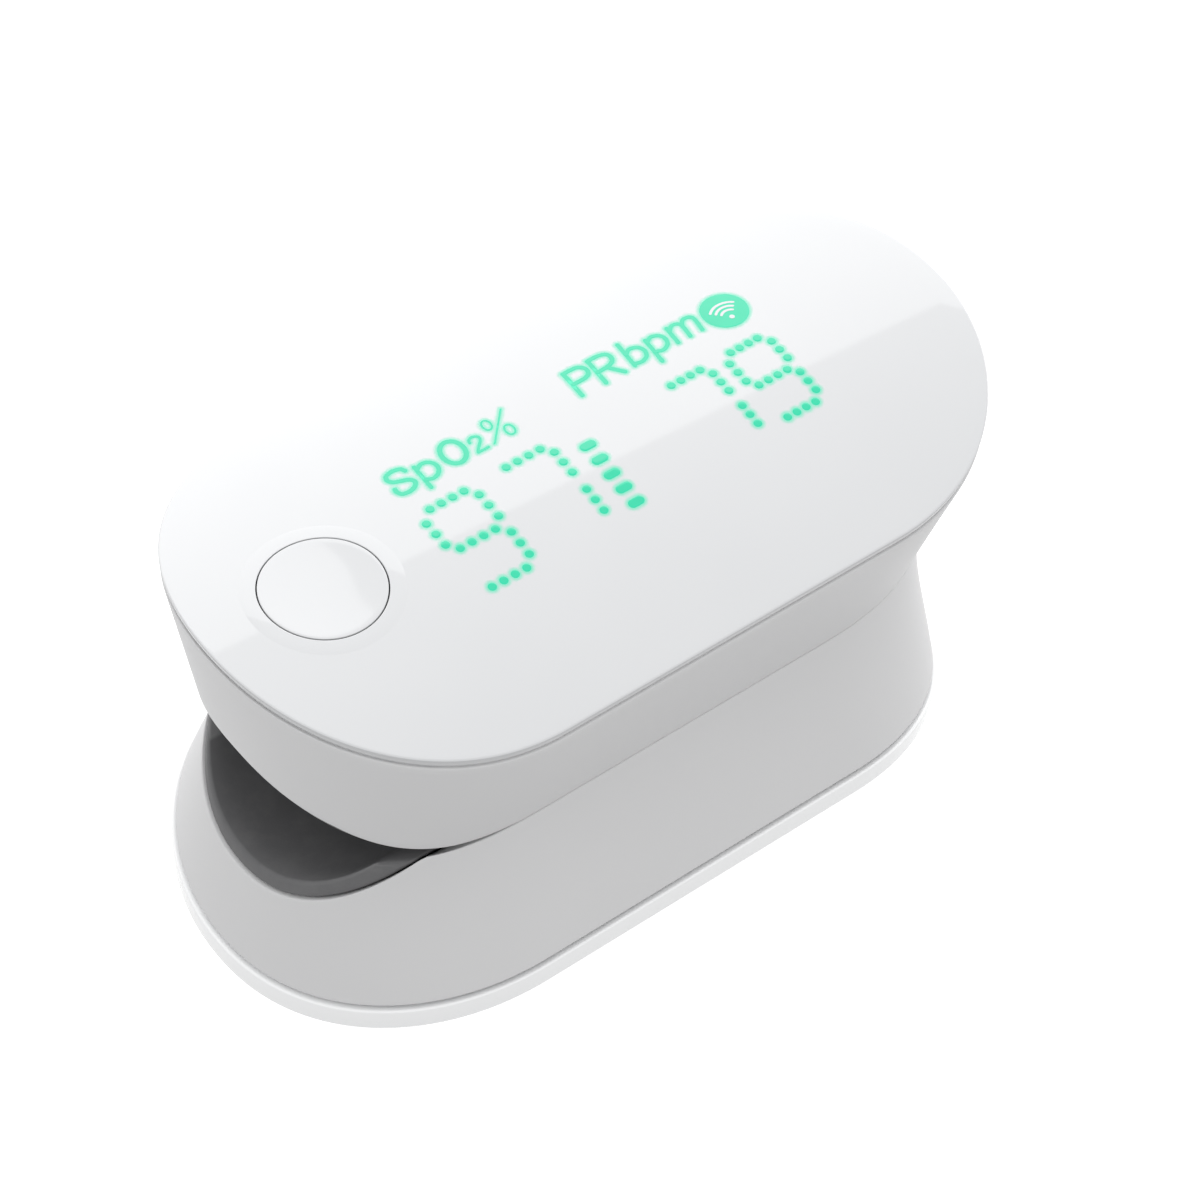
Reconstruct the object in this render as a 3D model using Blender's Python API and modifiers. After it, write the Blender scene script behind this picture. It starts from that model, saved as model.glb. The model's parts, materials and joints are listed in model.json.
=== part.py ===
"""Fingertip pulse oximeter: two spring-loaded jaws around a finger channel.

+X runs from the finger mouth (at -X) to the hinge end, +Z is up, and the
origin is in the middle of the flat land that the object rests on.
"""

import math

import bmesh
import bpy
from mathutils import Matrix, Vector

MM = 0.001
GAP = 0.3 * MM

# Outer form
LENGTH = 62.0 * MM
WIDTH = 34.0 * MM
CREST = 34.6 * MM
CROWN = 2.9 * MM
LAND_DROP = 0.3 * MM
END_CAP = 16.8 * MM
END_POWER = 2.1
WALL = 1.5 * MM

# Waist, where the two jaws meet
WAIST_HEIGHT = 17.1 * MM
WAIST_LENGTH = 56.0 * MM
WAIST_WIDTH = 25.7 * MM
WAIST_CAP = 15.8 * MM
WAIST_POWER = 2.5
WAIST_HOLLOW = 0.2

# Glossy covers
COVER_EDGE = 0.7 * MM
COVER_THICKNESS = 1.9 * MM
COVER_DROP = 1.0 * MM
RIM_HEIGHT = 2.03 * MM
SHELL_INSET = 0.3 * MM

# Finger channel: two arcs across the width, one for each jaw
LOWER_ARC_HALF = 11.4 * MM
LOWER_ARC_RISE = 7.5 * MM
UPPER_ARC_HALF = 13.0 * MM
UPPER_ARC_RISE = 4.9 * MM
PAD_THICKNESS = 1.1 * MM
LINER_THICKNESS = 1.4 * MM
CHANNEL_END = 12.5 * MM
BRIM_DROP = 2.5 * MM
PAD_SETBACK = 0.15 * MM

# Hinge
HINGE_X = 21.0 * MM
PIN_RADIUS = 0.8 * MM
PIN_HALF = 9.1 * MM
KNUCKLE_RADIUS = 2.1 * MM
LOWER_KNUCKLE = (6.3 * MM, 8.8 * MM)
UPPER_KNUCKLE = (3.5 * MM, 6.0 * MM)
NOTCH_ANGLE = math.radians(6.6)
DECK_END = 18.2 * MM
DECK_THICKNESS = 1.5 * MM
ARM_STEP = 0.1 * MM

# Button
BUTTON_X = -21.8 * MM
BUTTON_RADIUS = 4.3 * MM
BUTTON_PROUD = 0.3 * MM
BUTTON_FLANGE = 5.0 * MM
PLUNGER_RADIUS = 0.9 * MM
SWITCH_HALF = 2.6 * MM
SWITCH_HEIGHT = 2.6 * MM

# Boards and the sensor
BOARD_TOP = 27.4 * MM
BOARD_THICKNESS = 1.0 * MM
SENSOR_X = -8.0 * MM
WINDOW_RADIUS = 3.0 * MM
POST_RADIUS = 1.6 * MM
SCREW_RADIUS = 0.65 * MM
SCREW_HEAD = 1.2 * MM
SCREW_LENGTH = 3.6 * MM
SENSOR_CHIP_HALF = 1.9 * MM
SENSOR_BOARD_HALF = (5.0 * MM, 4.0 * MM)
REAR_POSTS = (15.5 * MM, 9.6 * MM)
FRONT_POSTS = (-13.0 * MM, 9.8 * MM)
FRONT_LOWER_POST = -21.0 * MM
MODULE_HALF_WIDTH = 7.0 * MM
MASK_HALF_WIDTH = 7.6 * MM

# Blocks of the power side in millimetres: low corner, high corner, finish, edge rounding
POWER_BLOCKS = {
    "battery_cell": ((-17, -9, 3.5), (12, 9, 6.6), "cell", 0.7),
    "battery_tape": ((-13, -5, 2.45), (8, 5, 3.3), "dark", 0.0),
    "charge_board": ((14.2, -6, 9.4), (25.8, 6, 10.4), "board", 0.3),
    "charge_chip": ((15.5, 2.5, 8.0), (18.5, 5.5, 9.25), "chip", 0.12),
    "charge_socket": ((21.6, -4.5, 10.9), (28.6, 4.5, 14.3), "steel", 1.3),
    "socket_tongue": ((22.9, -3.2, 12.25), (27.8, 3.2, 12.95), "dark", 0.1),
}
SOCKET_WELL = ((22.6, -4.1, 11.3), (32, 4.1, 13.9))
PORT_HOLE = ((25, -5.0, 10.6), (35, 5.0, 14.6))

# Chips under the main board in millimetres: middle along X, side
BOARD_CHIPS = {"controller_chip": (0, 7), "radio_module": (10.5, 8), "front_end_chip": (-17.5, 5)}

OVAL_STEPS = 24


def clear_scene():
    for obj in list(bpy.data.objects):
        bpy.data.objects.remove(obj)


def new_collection(name):
    collection = bpy.data.collections.new(name)
    bpy.context.scene.collection.children.link(collection)
    return collection


def material(name, color, roughness, metallic=0.0, alpha=1.0):
    made = bpy.data.materials.new(name)
    made.use_nodes = True
    shader = made.node_tree.nodes["Principled BSDF"]
    shader.inputs["Base Color"].default_value = (*color, 1.0)
    shader.inputs["Roughness"].default_value = roughness
    shader.inputs["Metallic"].default_value = metallic
    shader.inputs["Alpha"].default_value = alpha
    return made


def lift(y):
    """How far the crowned faces have turned away from their crest at y."""
    return CROWN * (2 * y / WIDTH) ** 2


def oval(length, width, cap=END_CAP, power=END_POWER):
    """Outline of a long oval: straight sides and two rounded end caps."""
    half = []
    for step in range(OVAL_STEPS + 1):
        turn = -math.pi / 2 + math.pi * step / OVAL_STEPS
        along = max(math.cos(turn), 0.0) ** (2 / power)
        across = math.copysign(abs(math.sin(turn)) ** (2 / power), math.sin(turn))
        half.append((length / 2 - cap + cap * along, width / 2 * across))
    return half + [(-x, -y) for x, y in half]


def inset_oval(inset, cap=END_CAP, power=END_POWER):
    return oval(LENGTH - 2 * inset, WIDTH - 2 * inset, max(cap - inset, 0.5 * MM), power)


def waist_oval(inset=0.0):
    return oval(WAIST_LENGTH - 2 * inset, WAIST_WIDTH - 2 * inset, WAIST_CAP - inset, WAIST_POWER)


def top_ring(inset, drop):
    return [(x, y, CREST - drop - lift(y)) for x, y in inset_oval(inset)]


def base_ring(inset, height):
    return [(x, y, max(lift(y) + height, 0.0)) for x, y in inset_oval(inset)]


def flat_ring(outline, height):
    return [(x, y, height) for x, y in outline]


def between(first, last, share, height_share=None):
    """A ring part of the way from one ring to another."""
    up = share if height_share is None else height_share
    return [
        (a[0] + (b[0] - a[0]) * share, a[1] + (b[1] - a[1]) * share, a[2] + (b[2] - a[2]) * up)
        for a, b in zip(first, last)
    ]


def upper_flank(inset=0.0, foot=GAP / 2):
    """Rings of the upper jaw's side, from the waist up to the cover's seat."""
    low = flat_ring(waist_oval(inset), WAIST_HEIGHT + foot)
    high = top_ring(SHELL_INSET + inset, COVER_DROP)
    return [between(low, high, step / 4) for step in range(5)]


def lower_flank(inset=0.0, foot=GAP / 2):
    """Rings of the lower jaw's side, hollowed a little under the waist."""
    high = flat_ring(waist_oval(inset), WAIST_HEIGHT - foot)
    low = base_ring(SHELL_INSET + inset, RIM_HEIGHT + GAP)
    rings = []
    for down in (0.0, 0.1, 0.2, 0.32, 0.5, 0.72, 1.0):
        out = down - WAIST_HOLLOW * math.sin(math.pi * down) * (1 - down)
        rings.append(between(high, low, out, down))
    return rings[::-1]


def mesh_object(name, shape, finish, collection):
    mesh = bpy.data.meshes.new(name)
    shape.to_mesh(mesh)
    shape.free()
    if finish:
        mesh.materials.append(finish)
    obj = bpy.data.objects.new(name, mesh)
    collection.objects.link(obj)
    return obj


def loft(name, rings, finish, collection, capped=True):
    """A skin through rings of equal count, listed from the bottom up."""
    shape = bmesh.new()
    rows = [[shape.verts.new(point) for point in ring] for ring in rings]
    count = len(rows[0])
    for low, high in zip(rows, rows[1:]):
        for at in range(count):
            after = (at + 1) % count
            shape.faces.new((low[at], low[after], high[after], high[at]))
    if capped:
        shape.faces.new(rows[0][::-1])
        shape.faces.new(rows[-1])
    bmesh.ops.remove_doubles(shape, verts=shape.verts, dist=0.001 * MM)
    bmesh.ops.recalc_face_normals(shape, faces=shape.faces)
    return mesh_object(name, shape, finish, collection)


def block(name, low, high, finish, collection, bevel=0.0):
    """A box between two corners, with its edges rounded if asked."""
    shape = bmesh.new()
    bmesh.ops.create_cube(shape, size=1.0)
    size = Vector(high) - Vector(low)
    middle = (Vector(high) + Vector(low)) / 2
    bmesh.ops.transform(shape, matrix=Matrix.Diagonal((*size, 1.0)), verts=shape.verts)
    obj = mesh_object(name, shape, finish, collection)
    obj.location = middle
    if bevel:
        add_bevel(obj, bevel)
    return obj


def corners(pair):
    """Two corners given in millimetres, as the block maker takes them."""
    return [tuple(part * MM for part in corner) for corner in pair]


def add_bevel(obj, width, segments=2):
    rounding = obj.modifiers.new("rounded_edges", "BEVEL")
    rounding.width = width
    rounding.segments = segments
    rounding.limit_method = "ANGLE"
    rounding.angle_limit = math.radians(40)


def rod(name, radius, start, end, finish, collection, sides=24):
    """A round bar between two points."""
    start, end = Vector(start), Vector(end)
    shape = bmesh.new()
    bmesh.ops.create_cone(
        shape, cap_ends=True, segments=sides, radius1=radius, radius2=radius, depth=(end - start).length
    )
    obj = mesh_object(name, shape, finish, collection)
    turn = Vector((0, 0, 1)).rotation_difference(end - start)
    obj.rotation_mode = "QUATERNION"
    obj.rotation_quaternion = turn
    obj.location = (start + end) / 2
    return obj


def turned(name, profile, place, finish, collection, steps=24):
    """A turned piece: the profile runs down its outer side from the axis."""
    shape = bmesh.new()
    points = [shape.verts.new((radius, 0, height)) for radius, height in profile]
    for upper, under in zip(points, points[1:]):
        shape.edges.new((upper, under))
    obj = mesh_object(name, shape, finish, collection)
    screw = obj.modifiers.new("turned", "SCREW")
    screw.steps = steps
    screw.render_steps = steps
    screw.use_merge_vertices = True
    screw.merge_threshold = 0.00001
    obj.location = place
    return obj


def boolean(obj, other, operation="DIFFERENCE"):
    step = obj.modifiers.new(other.name, "BOOLEAN")
    step.operation = operation
    step.object = other
    return obj


def as_cutter(obj):
    obj.hide_render = True
    obj.display_type = "WIRE"
    return obj


def arc_radius(half, rise):
    return (half**2 + rise**2) / (2 * rise)


LOWER_ARC = arc_radius(LOWER_ARC_HALF, LOWER_ARC_RISE)
LOWER_CENTRE = WAIST_HEIGHT - LOWER_ARC_RISE + LOWER_ARC
UPPER_ARC = arc_radius(UPPER_ARC_HALF, UPPER_ARC_RISE)
UPPER_CENTRE = WAIST_HEIGHT + UPPER_ARC_RISE - UPPER_ARC


def arc_rod(name, radius, centre, end, cutters, start=-0.6 * LENGTH, sides=72):
    """A round bar along the finger channel, used to cut or to trim."""
    return as_cutter(rod(name, radius, (start, 0, centre), (end, 0, centre), None, cutters, sides))


def notch(name, sign, cutters):
    """A wedge behind the hinge axis that leaves the jaws room to rock."""
    reach = LENGTH / 2
    fall = reach * math.tan(NOTCH_ANGLE)
    outline = [(0, -sign * MM), (reach, -sign * MM), (reach, sign * fall), (0, sign * GAP / 2)]
    shape = bmesh.new()
    rows = []
    for y in (-WIDTH, WIDTH):
        rows.append([shape.verts.new((HINGE_X + x, y, WAIST_HEIGHT + z)) for x, z in outline])
    for at in range(4):
        after = (at + 1) % 4
        shape.faces.new((rows[0][at], rows[0][after], rows[1][after], rows[1][at]))
    shape.faces.new(rows[0])
    shape.faces.new(rows[1])
    bmesh.ops.recalc_face_normals(shape, faces=shape.faces)
    return as_cutter(mesh_object(name, shape, None, cutters))


def upper_shell(parts, cutters, finish):
    shell = loft("upper_shell", upper_flank(), finish, parts, capped=False)
    wall = shell.modifiers.new("wall", "SOLIDIFY")
    wall.thickness = WALL
    wall.offset = -1
    boolean(shell, arc_rod("upper_mouth", UPPER_ARC, UPPER_CENTRE, CHANNEL_END, cutters))
    boolean(shell, notch("upper_notch", 1, cutters))


def lower_shell(parts, cutters, finish):
    shell = loft("lower_shell", lower_flank(), finish, parts, capped=False)
    wall = shell.modifiers.new("wall", "SOLIDIFY")
    wall.thickness = WALL
    wall.offset = -1
    boolean(shell, arc_rod("lower_mouth", LOWER_ARC, LOWER_CENTRE, CHANNEL_END, cutters))
    boolean(shell, notch("lower_notch", -1, cutters))
    port = block("port_hole", *corners(PORT_HOLE), None, cutters, 1.5 * MM)
    boolean(shell, as_cutter(port))


def crowned_insets():
    return (1.0 * MM, 3.5 * MM, 7.0 * MM, 11.0 * MM, 14.5 * MM)


def top_cover(parts, cutters, finish):
    plug = WALL + SHELL_INSET + 2 * GAP
    rings = [top_ring(inset, COVER_THICKNESS) for inset in crowned_insets()[:1:-1]]
    rings += [top_ring(plug, COVER_THICKNESS), top_ring(plug, COVER_EDGE)]
    rings += [top_ring(0.15 * MM, COVER_EDGE), top_ring(0, 0.7 * COVER_EDGE), top_ring(0.15 * MM, 0.12 * MM)]
    rings += [top_ring(inset, 0) for inset in crowned_insets()]
    cover = loft("top_cover", rings, finish, parts)
    hole = rod(
        "button_hole",
        BUTTON_RADIUS + GAP,
        (BUTTON_X, 0, CREST - 5 * MM),
        (BUTTON_X, 0, CREST + 5 * MM),
        None,
        cutters,
        36,
    )
    boolean(cover, as_cutter(hole))


def base_cover(parts, cutters, finish):
    plug = WALL + SHELL_INSET + 2 * GAP
    rings = [base_ring(inset * MM, -LAND_DROP) for inset in (14.5, 11.5, 7.0, 3.5, 0.8)]
    rings += [base_ring(0.12 * MM, 0.1 * MM), base_ring(0, 0.6 * MM), base_ring(0, RIM_HEIGHT)]
    rings += [base_ring(plug, RIM_HEIGHT), base_ring(plug, RIM_HEIGHT + 0.8 * MM)]
    rings += [base_ring(plug + WALL, RIM_HEIGHT + 0.8 * MM), base_ring(plug + WALL, RIM_HEIGHT - 0.4 * MM)]
    rings += [base_ring(inset, RIM_HEIGHT - 0.4 * MM) for inset in crowned_insets()[2:]]
    cover = loft("base_cover", rings, finish, parts)
    for at, (x, y, top) in enumerate(lower_posts()):
        post = upright(f"base_post_{at}", POST_RADIUS, x, y, MM, top - 0.2 * MM, cutters)
        boolean(cover, post, "UNION")
        bore = (top - 4 * MM, top + MM)
        boolean(cover, upright(f"base_bore_{at}", SCREW_RADIUS + GAP, x, y, *bore, cutters, 12))


def upright(name, radius, x, y, low, high, cutters, sides=16):
    """A round bar standing on end, used to cut or to add."""
    return as_cutter(rod(name, radius, (x, y, low), (x, y, high), None, cutters, sides))


def screw_room(body, name, x, y, hole, sink, cutters):
    """The through hole and the head recess of one screw, each as its two heights."""
    boolean(body, upright(f"{name}_hole", SCREW_RADIUS + GAP, x, y, *hole, cutters, 12))
    boolean(body, upright(f"{name}_sink", SCREW_HEAD + GAP, x, y, *sink, cutters))


def lower_posts():
    """(x, y, top) of the posts that the lower liner is screwed to."""
    deck = WAIST_HEIGHT - 2 * GAP - DECK_THICKNESS - GAP
    trough = LOWER_CENTRE - LOWER_ARC - LINER_THICKNESS - 2 * GAP
    rear = [(REAR_POSTS[0], side * REAR_POSTS[1], deck) for side in (-1, 1)]
    return rear + [(FRONT_LOWER_POST, 0.0, trough)]


def upper_posts():
    """(x, y, bottom) of the carrier's posts that the upper liner is screwed to."""
    deck = WAIST_HEIGHT + 2 * GAP + DECK_THICKNESS + GAP
    outer = UPPER_ARC + LINER_THICKNESS + GAP
    arch = UPPER_CENTRE + math.sqrt(outer**2 - (FRONT_POSTS[1] - POST_RADIUS) ** 2) + GAP
    rear = [(REAR_POSTS[0], side * REAR_POSTS[1], deck) for side in (-1, 1)]
    front = [(FRONT_POSTS[0], side * FRONT_POSTS[1], arch) for side in (-1, 1)]
    return rear + front


def knuckles(liner, name, span, arm_low, arm_high, cutters):
    """Two hinge knuckles with their arms, joined to a liner and bored for the pin."""
    for side in (-1, 1):
        low, high = sorted((side * span[0], side * span[1]))
        barrel = rod(
            f"{name}_barrel_{side}",
            KNUCKLE_RADIUS,
            (HINGE_X, low, WAIST_HEIGHT),
            (HINGE_X, high, WAIST_HEIGHT),
            None,
            cutters,
        )
        arm = block(
            f"{name}_arm_{side}",
            (DECK_END - 1.5 * MM, low + ARM_STEP, arm_low + ARM_STEP),
            (HINGE_X, high - ARM_STEP, arm_high - ARM_STEP),
            None,
            cutters,
        )
        boolean(liner, as_cutter(arm), "UNION")
        boolean(liner, as_cutter(barrel), "UNION")
    ends = [(HINGE_X, side * WIDTH, WAIST_HEIGHT) for side in (-1, 1)]
    bore = rod(f"{name}_bore", PIN_RADIUS + GAP, *ends, None, cutters)
    boolean(liner, as_cutter(bore))


def lower_liner(parts, cutters, finish):
    inset = WALL + GAP
    top = WAIST_HEIGHT - 2 * GAP
    outer = LOWER_ARC + LINER_THICKNESS
    deck = loft(
        "lower_liner",
        [flat_ring(waist_oval(inset), top - DECK_THICKNESS), flat_ring(waist_oval(inset), top)],
        finish,
        parts,
    )
    trough = arc_rod("lower_trough", outer, LOWER_CENTRE, CHANNEL_END + LINER_THICKNESS, cutters)
    room = as_cutter(loft("lower_room", lower_flank(inset, 3 * GAP), None, cutters))
    boolean(trough, room, "INTERSECT")
    boolean(deck, trough, "UNION")
    boolean(deck, arc_rod("lower_channel", LOWER_ARC, LOWER_CENTRE, CHANNEL_END, cutters))
    brim = WAIST_HEIGHT - BRIM_DROP
    above = block("lower_brim", (-LENGTH, -WIDTH, brim), (CHANNEL_END, WIDTH, CREST), None, cutters)
    boolean(deck, as_cutter(above))
    tail = block("lower_tail", (DECK_END, -WIDTH, 0), (LENGTH, WIDTH, CREST), None, cutters)
    boolean(deck, as_cutter(tail))
    knuckles(deck, "lower_knuckle", LOWER_KNUCKLE, top - DECK_THICKNESS, top, cutters)
    boolean(deck, upright("lower_light_hole", WINDOW_RADIUS, SENSOR_X, 0, 5 * MM, 15 * MM, cutters, 24))
    slot = block("lower_flex_slot", *corners(((14.4, -3.6, 10), (17.0, 3.6, 20))), None, cutters)
    boolean(deck, as_cutter(slot))
    for at, (x, y, height) in enumerate(lower_posts()):
        sink = (height + 0.85 * MM, height + 9 * MM)
        screw_room(deck, f"lower_screw_{at}", x, y, (height - MM, CREST), sink, cutters)


def upper_liner(parts, cutters, finish):
    inset = WALL + GAP
    low = WAIST_HEIGHT + 2 * GAP
    deck = loft(
        "upper_liner",
        [flat_ring(waist_oval(inset), low), flat_ring(waist_oval(inset), low + DECK_THICKNESS)],
        finish,
        parts,
    )
    arch = arc_rod(
        "upper_arch", UPPER_ARC + LINER_THICKNESS + GAP, UPPER_CENTRE, CHANNEL_END + LINER_THICKNESS, cutters
    )
    room = as_cutter(loft("upper_room", upper_flank(inset + 0.1 * MM, 3 * GAP), None, cutters))
    boolean(arch, room, "INTERSECT")
    boolean(deck, arch, "UNION")
    boolean(deck, arc_rod("upper_channel", UPPER_ARC + GAP, UPPER_CENTRE, CHANNEL_END, cutters))
    brim = WAIST_HEIGHT + 0.8 * BRIM_DROP
    under = block("upper_brim", (-LENGTH, -WIDTH, 0), (CHANNEL_END, WIDTH, brim), None, cutters)
    boolean(deck, as_cutter(under))
    tail = block("upper_tail", (DECK_END, -WIDTH, 0), (LENGTH, WIDTH, CREST), None, cutters)
    boolean(deck, as_cutter(tail))
    knuckles(deck, "upper_knuckle", UPPER_KNUCKLE, low, low + DECK_THICKNESS, cutters)
    boolean(deck, upright("upper_light_hole", WINDOW_RADIUS, SENSOR_X, 0, 18 * MM, 26 * MM, cutters, 24))
    slot = block("upper_flex_slot", *corners(((14.4, -3.6, 15), (17.0, 3.6, 25))), None, cutters)
    boolean(deck, as_cutter(slot))
    for at, (x, y, height) in enumerate(upper_posts()):
        sink = (10 * MM, height - 0.85 * MM)
        screw_room(deck, f"upper_screw_{at}", x, y, (10 * MM, height + MM), sink, cutters)


def lower_pad(parts, cutters, finish):
    outer = LOWER_ARC - GAP
    pad = rod(
        "lower_pad",
        outer,
        (-0.6 * LENGTH, 0, LOWER_CENTRE),
        (CHANNEL_END - GAP, 0, LOWER_CENTRE),
        finish,
        parts,
        72,
    )
    room = as_cutter(loft("lower_pad_room", lower_flank(PAD_SETBACK, 2 * GAP), None, cutters))
    boolean(pad, room, "INTERSECT")
    boolean(pad, arc_rod("lower_pad_face", outer - PAD_THICKNESS, LOWER_CENTRE, CHANNEL_END + MM, cutters))
    boolean(pad, bpy.data.objects["lower_light_hole"])
    return pad


def upper_pad(parts, cutters, finish):
    outer = UPPER_ARC - GAP
    pad = rod(
        "upper_pad",
        outer,
        (-0.6 * LENGTH, 0, UPPER_CENTRE),
        (CHANNEL_END - GAP, 0, UPPER_CENTRE),
        finish,
        parts,
        96,
    )
    room = as_cutter(loft("upper_pad_room", upper_flank(0.8 * MM, 2 * GAP), None, cutters))
    boolean(pad, room, "INTERSECT")
    face = arc_rod("upper_pad_face", outer - PAD_THICKNESS, UPPER_CENTRE, CHANNEL_END + MM, cutters, sides=96)
    boolean(pad, face)
    boolean(pad, bpy.data.objects["upper_light_hole"])
    return pad


def sensor(parts, finishes):
    """Light source over the nail and receiver under the fingertip, each behind a clear window."""
    floor = LOWER_CENTRE - LOWER_ARC
    roof = UPPER_CENTRE + UPPER_ARC
    clear = WINDOW_RADIUS - GAP
    lens = [(0, 0.45 * MM), (0.6 * clear, 0.4 * MM), (clear - 0.25 * MM, 0.15 * MM), (clear, -0.1 * MM)]
    lens += [(clear, -0.65 * MM), (0, -0.65 * MM)]
    turned("receiver_window", lens, (SENSOR_X, 0, floor + MM), finishes["lens"], parts)
    turned_over = [(radius, -height) for radius, height in lens[::-1]]
    turned("emitter_window", turned_over, (SENSOR_X, 0, roof - 0.8 * MM), finishes["lens"], parts)
    low = floor - LINER_THICKNESS
    high = roof + LINER_THICKNESS + 0.3 * MM
    layout = {
        "receiver_diode": (low, low + 1.3 * MM, "chip"),
        "receiver_board": (low - 1.2 * MM, low - 0.4 * MM, "board"),
        "emitter_diodes": (high - 1.3 * MM, high, "ceramic"),
        "emitter_board": (high + 0.4 * MM, high + 1.2 * MM, "board"),
    }
    for name, (under, over, finish) in layout.items():
        is_board = finish == "board"
        half_x, half_y = SENSOR_BOARD_HALF if is_board else (SENSOR_CHIP_HALF, SENSOR_CHIP_HALF)
        corner = (SENSOR_X - half_x, -half_y, under)
        bevel = 0.3 * MM if is_board else 0.15 * MM
        block(name, corner, (SENSOR_X + half_x, half_y, over), finishes[finish], parts, bevel)


def button(parts, finishes, cutters):
    """The push button with its retaining flange, its plunger and the switch below."""
    top = CREST + BUTTON_PROUD
    flange_top = CREST - COVER_THICKNESS - 0.4 * MM
    flange_low = flange_top - 0.8 * MM
    profile = [(0, top), (BUTTON_RADIUS - 0.35 * MM, top - 0.05 * MM)]
    profile += [(BUTTON_RADIUS - 0.1 * MM, top - 0.15 * MM), (BUTTON_RADIUS, top - 0.4 * MM)]
    profile += [(BUTTON_RADIUS, flange_top), (BUTTON_FLANGE, flange_top)]
    profile += [(BUTTON_FLANGE, flange_low), (0, flange_low)]
    turned("button_cap", profile, (BUTTON_X, 0, 0), finishes["gloss"], parts, 36)
    switch_top = BOARD_TOP + SWITCH_HEIGHT
    rod(
        "switch_plunger",
        PLUNGER_RADIUS,
        (BUTTON_X, 0, switch_top - 0.6 * MM),
        (BUTTON_X, 0, flange_low - GAP),
        finishes["dark"],
        parts,
        16,
    )
    switch = block(
        "button_switch",
        (BUTTON_X - SWITCH_HALF, -SWITCH_HALF, BOARD_TOP + 2 * GAP / 3),
        (BUTTON_X + SWITCH_HALF, SWITCH_HALF, switch_top),
        finishes["chip"],
        parts,
        0.2 * MM,
    )
    well_floor = switch_top - 1.6 * MM
    boolean(switch, upright("switch_well", PLUNGER_RADIUS + GAP, BUTTON_X, 0, well_floor, CREST, cutters))


def display(parts, finishes, cutters):
    """The light module under the cover, its black mask, the carrier, the board and what is on it."""
    under = CREST - COVER_THICKNESS - lift(MASK_HALF_WIDTH)
    mask_low = (-14.5 * MM, -MASK_HALF_WIDTH, under - 2 * GAP)
    mask_high = (20 * MM, MASK_HALF_WIDTH, under - GAP)
    block("display_mask", mask_low, mask_high, finishes["dark"], parts, 0.1 * MM)
    top = under - 3 * GAP
    module_low = (-13.5 * MM, -MODULE_HALF_WIDTH, top - 2 * MM)
    block("display_module", module_low, (19 * MM, MODULE_HALF_WIDTH, top), finishes["white"], parts, 0.3 * MM)
    outline = oval(54 * MM, 24 * MM, 11 * MM)
    plate = [flat_ring(outline, 28.0 * MM), flat_ring(outline, 29.6 * MM)]
    carrier = loft("display_carrier", plate, finishes["frame"], parts)
    window = block("carrier_window", *corners(((-14, -7.4, 20), (19.6, 7.4, 40))), None, cutters)
    boolean(carrier, as_cutter(window))
    well_radius = BUTTON_FLANGE + 0.4 * MM
    boolean(carrier, upright("carrier_well", well_radius, BUTTON_X, 0, 20 * MM, 40 * MM, cutters, 24))
    for at, (x, y, bottom) in enumerate(upper_posts()):
        boolean(carrier, upright(f"carrier_post_{at}", POST_RADIUS, x, y, bottom, 29 * MM, cutters), "UNION")
        bore = (bottom - MM, bottom + 4 * MM)
        boolean(carrier, upright(f"carrier_bore_{at}", SCREW_RADIUS + GAP, x, y, *bore, cutters, 12))
    board = BOARD_TOP - BOARD_THICKNESS
    outline = oval(54 * MM, 15 * MM, 7 * MM)
    loft("main_board", [flat_ring(outline, board), flat_ring(outline, BOARD_TOP)], finishes["board"], parts)
    for name, (x, side) in BOARD_CHIPS.items():
        half = side * MM / 2
        low, high = (x * MM - half, -half, board - 1.2 * MM), (x * MM + half, half, board - GAP / 2)
        block(name, low, high, finishes["chip"], parts, 0.12 * MM)


def power(parts, finishes, cutters):
    """Battery, its tape, the charging board and the charging socket."""
    made = {}
    for name, (low, high, finish, rounding) in POWER_BLOCKS.items():
        made[name] = block(name, *corners((low, high)), finishes[finish], parts, rounding * MM)
    well = block("socket_well", *corners(SOCKET_WELL), None, cutters, 1.1 * MM)
    boolean(made["charge_socket"], as_cutter(well))


def screw(name, x, y, head_height, up, parts, finish):
    """A small pan-head screw; up is 1 when the head is at the top."""
    profile = [(0, 0.7 * MM), (0.8 * SCREW_HEAD, 0.62 * MM), (SCREW_HEAD, 0.35 * MM), (SCREW_HEAD, 0)]
    profile += [(SCREW_RADIUS, 0), (SCREW_RADIUS, 0.4 * MM - SCREW_LENGTH)]
    profile += [(0.4 * SCREW_RADIUS, -SCREW_LENGTH), (0, -SCREW_LENGTH)]
    if up < 0:
        profile = [(radius, -height) for radius, height in profile[::-1]]
    turned(name, profile, (x, y, head_height), finish, parts, 16)


def screws(parts, finish):
    for at, (x, y, height) in enumerate(lower_posts(), 1):
        screw(f"lower_screw_{at}", x, y, height + 0.9 * MM + GAP / 2, 1, parts, finish)
    for at, (x, y, height) in enumerate(upper_posts(), 1):
        screw(f"upper_screw_{at}", x, y, height - 0.9 * MM - GAP / 2, -1, parts, finish)


def hinge(parts, finishes):
    rod(
        "hinge_pin",
        PIN_RADIUS,
        (HINGE_X, -PIN_HALF, WAIST_HEIGHT),
        (HINGE_X, PIN_HALF, WAIST_HEIGHT),
        finishes["steel"],
        parts,
        20,
    )
    for name, side in (("left_spring", 1), ("right_spring", -1)):
        torsion_spring(name, side, parts, finishes["spring"])


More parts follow.
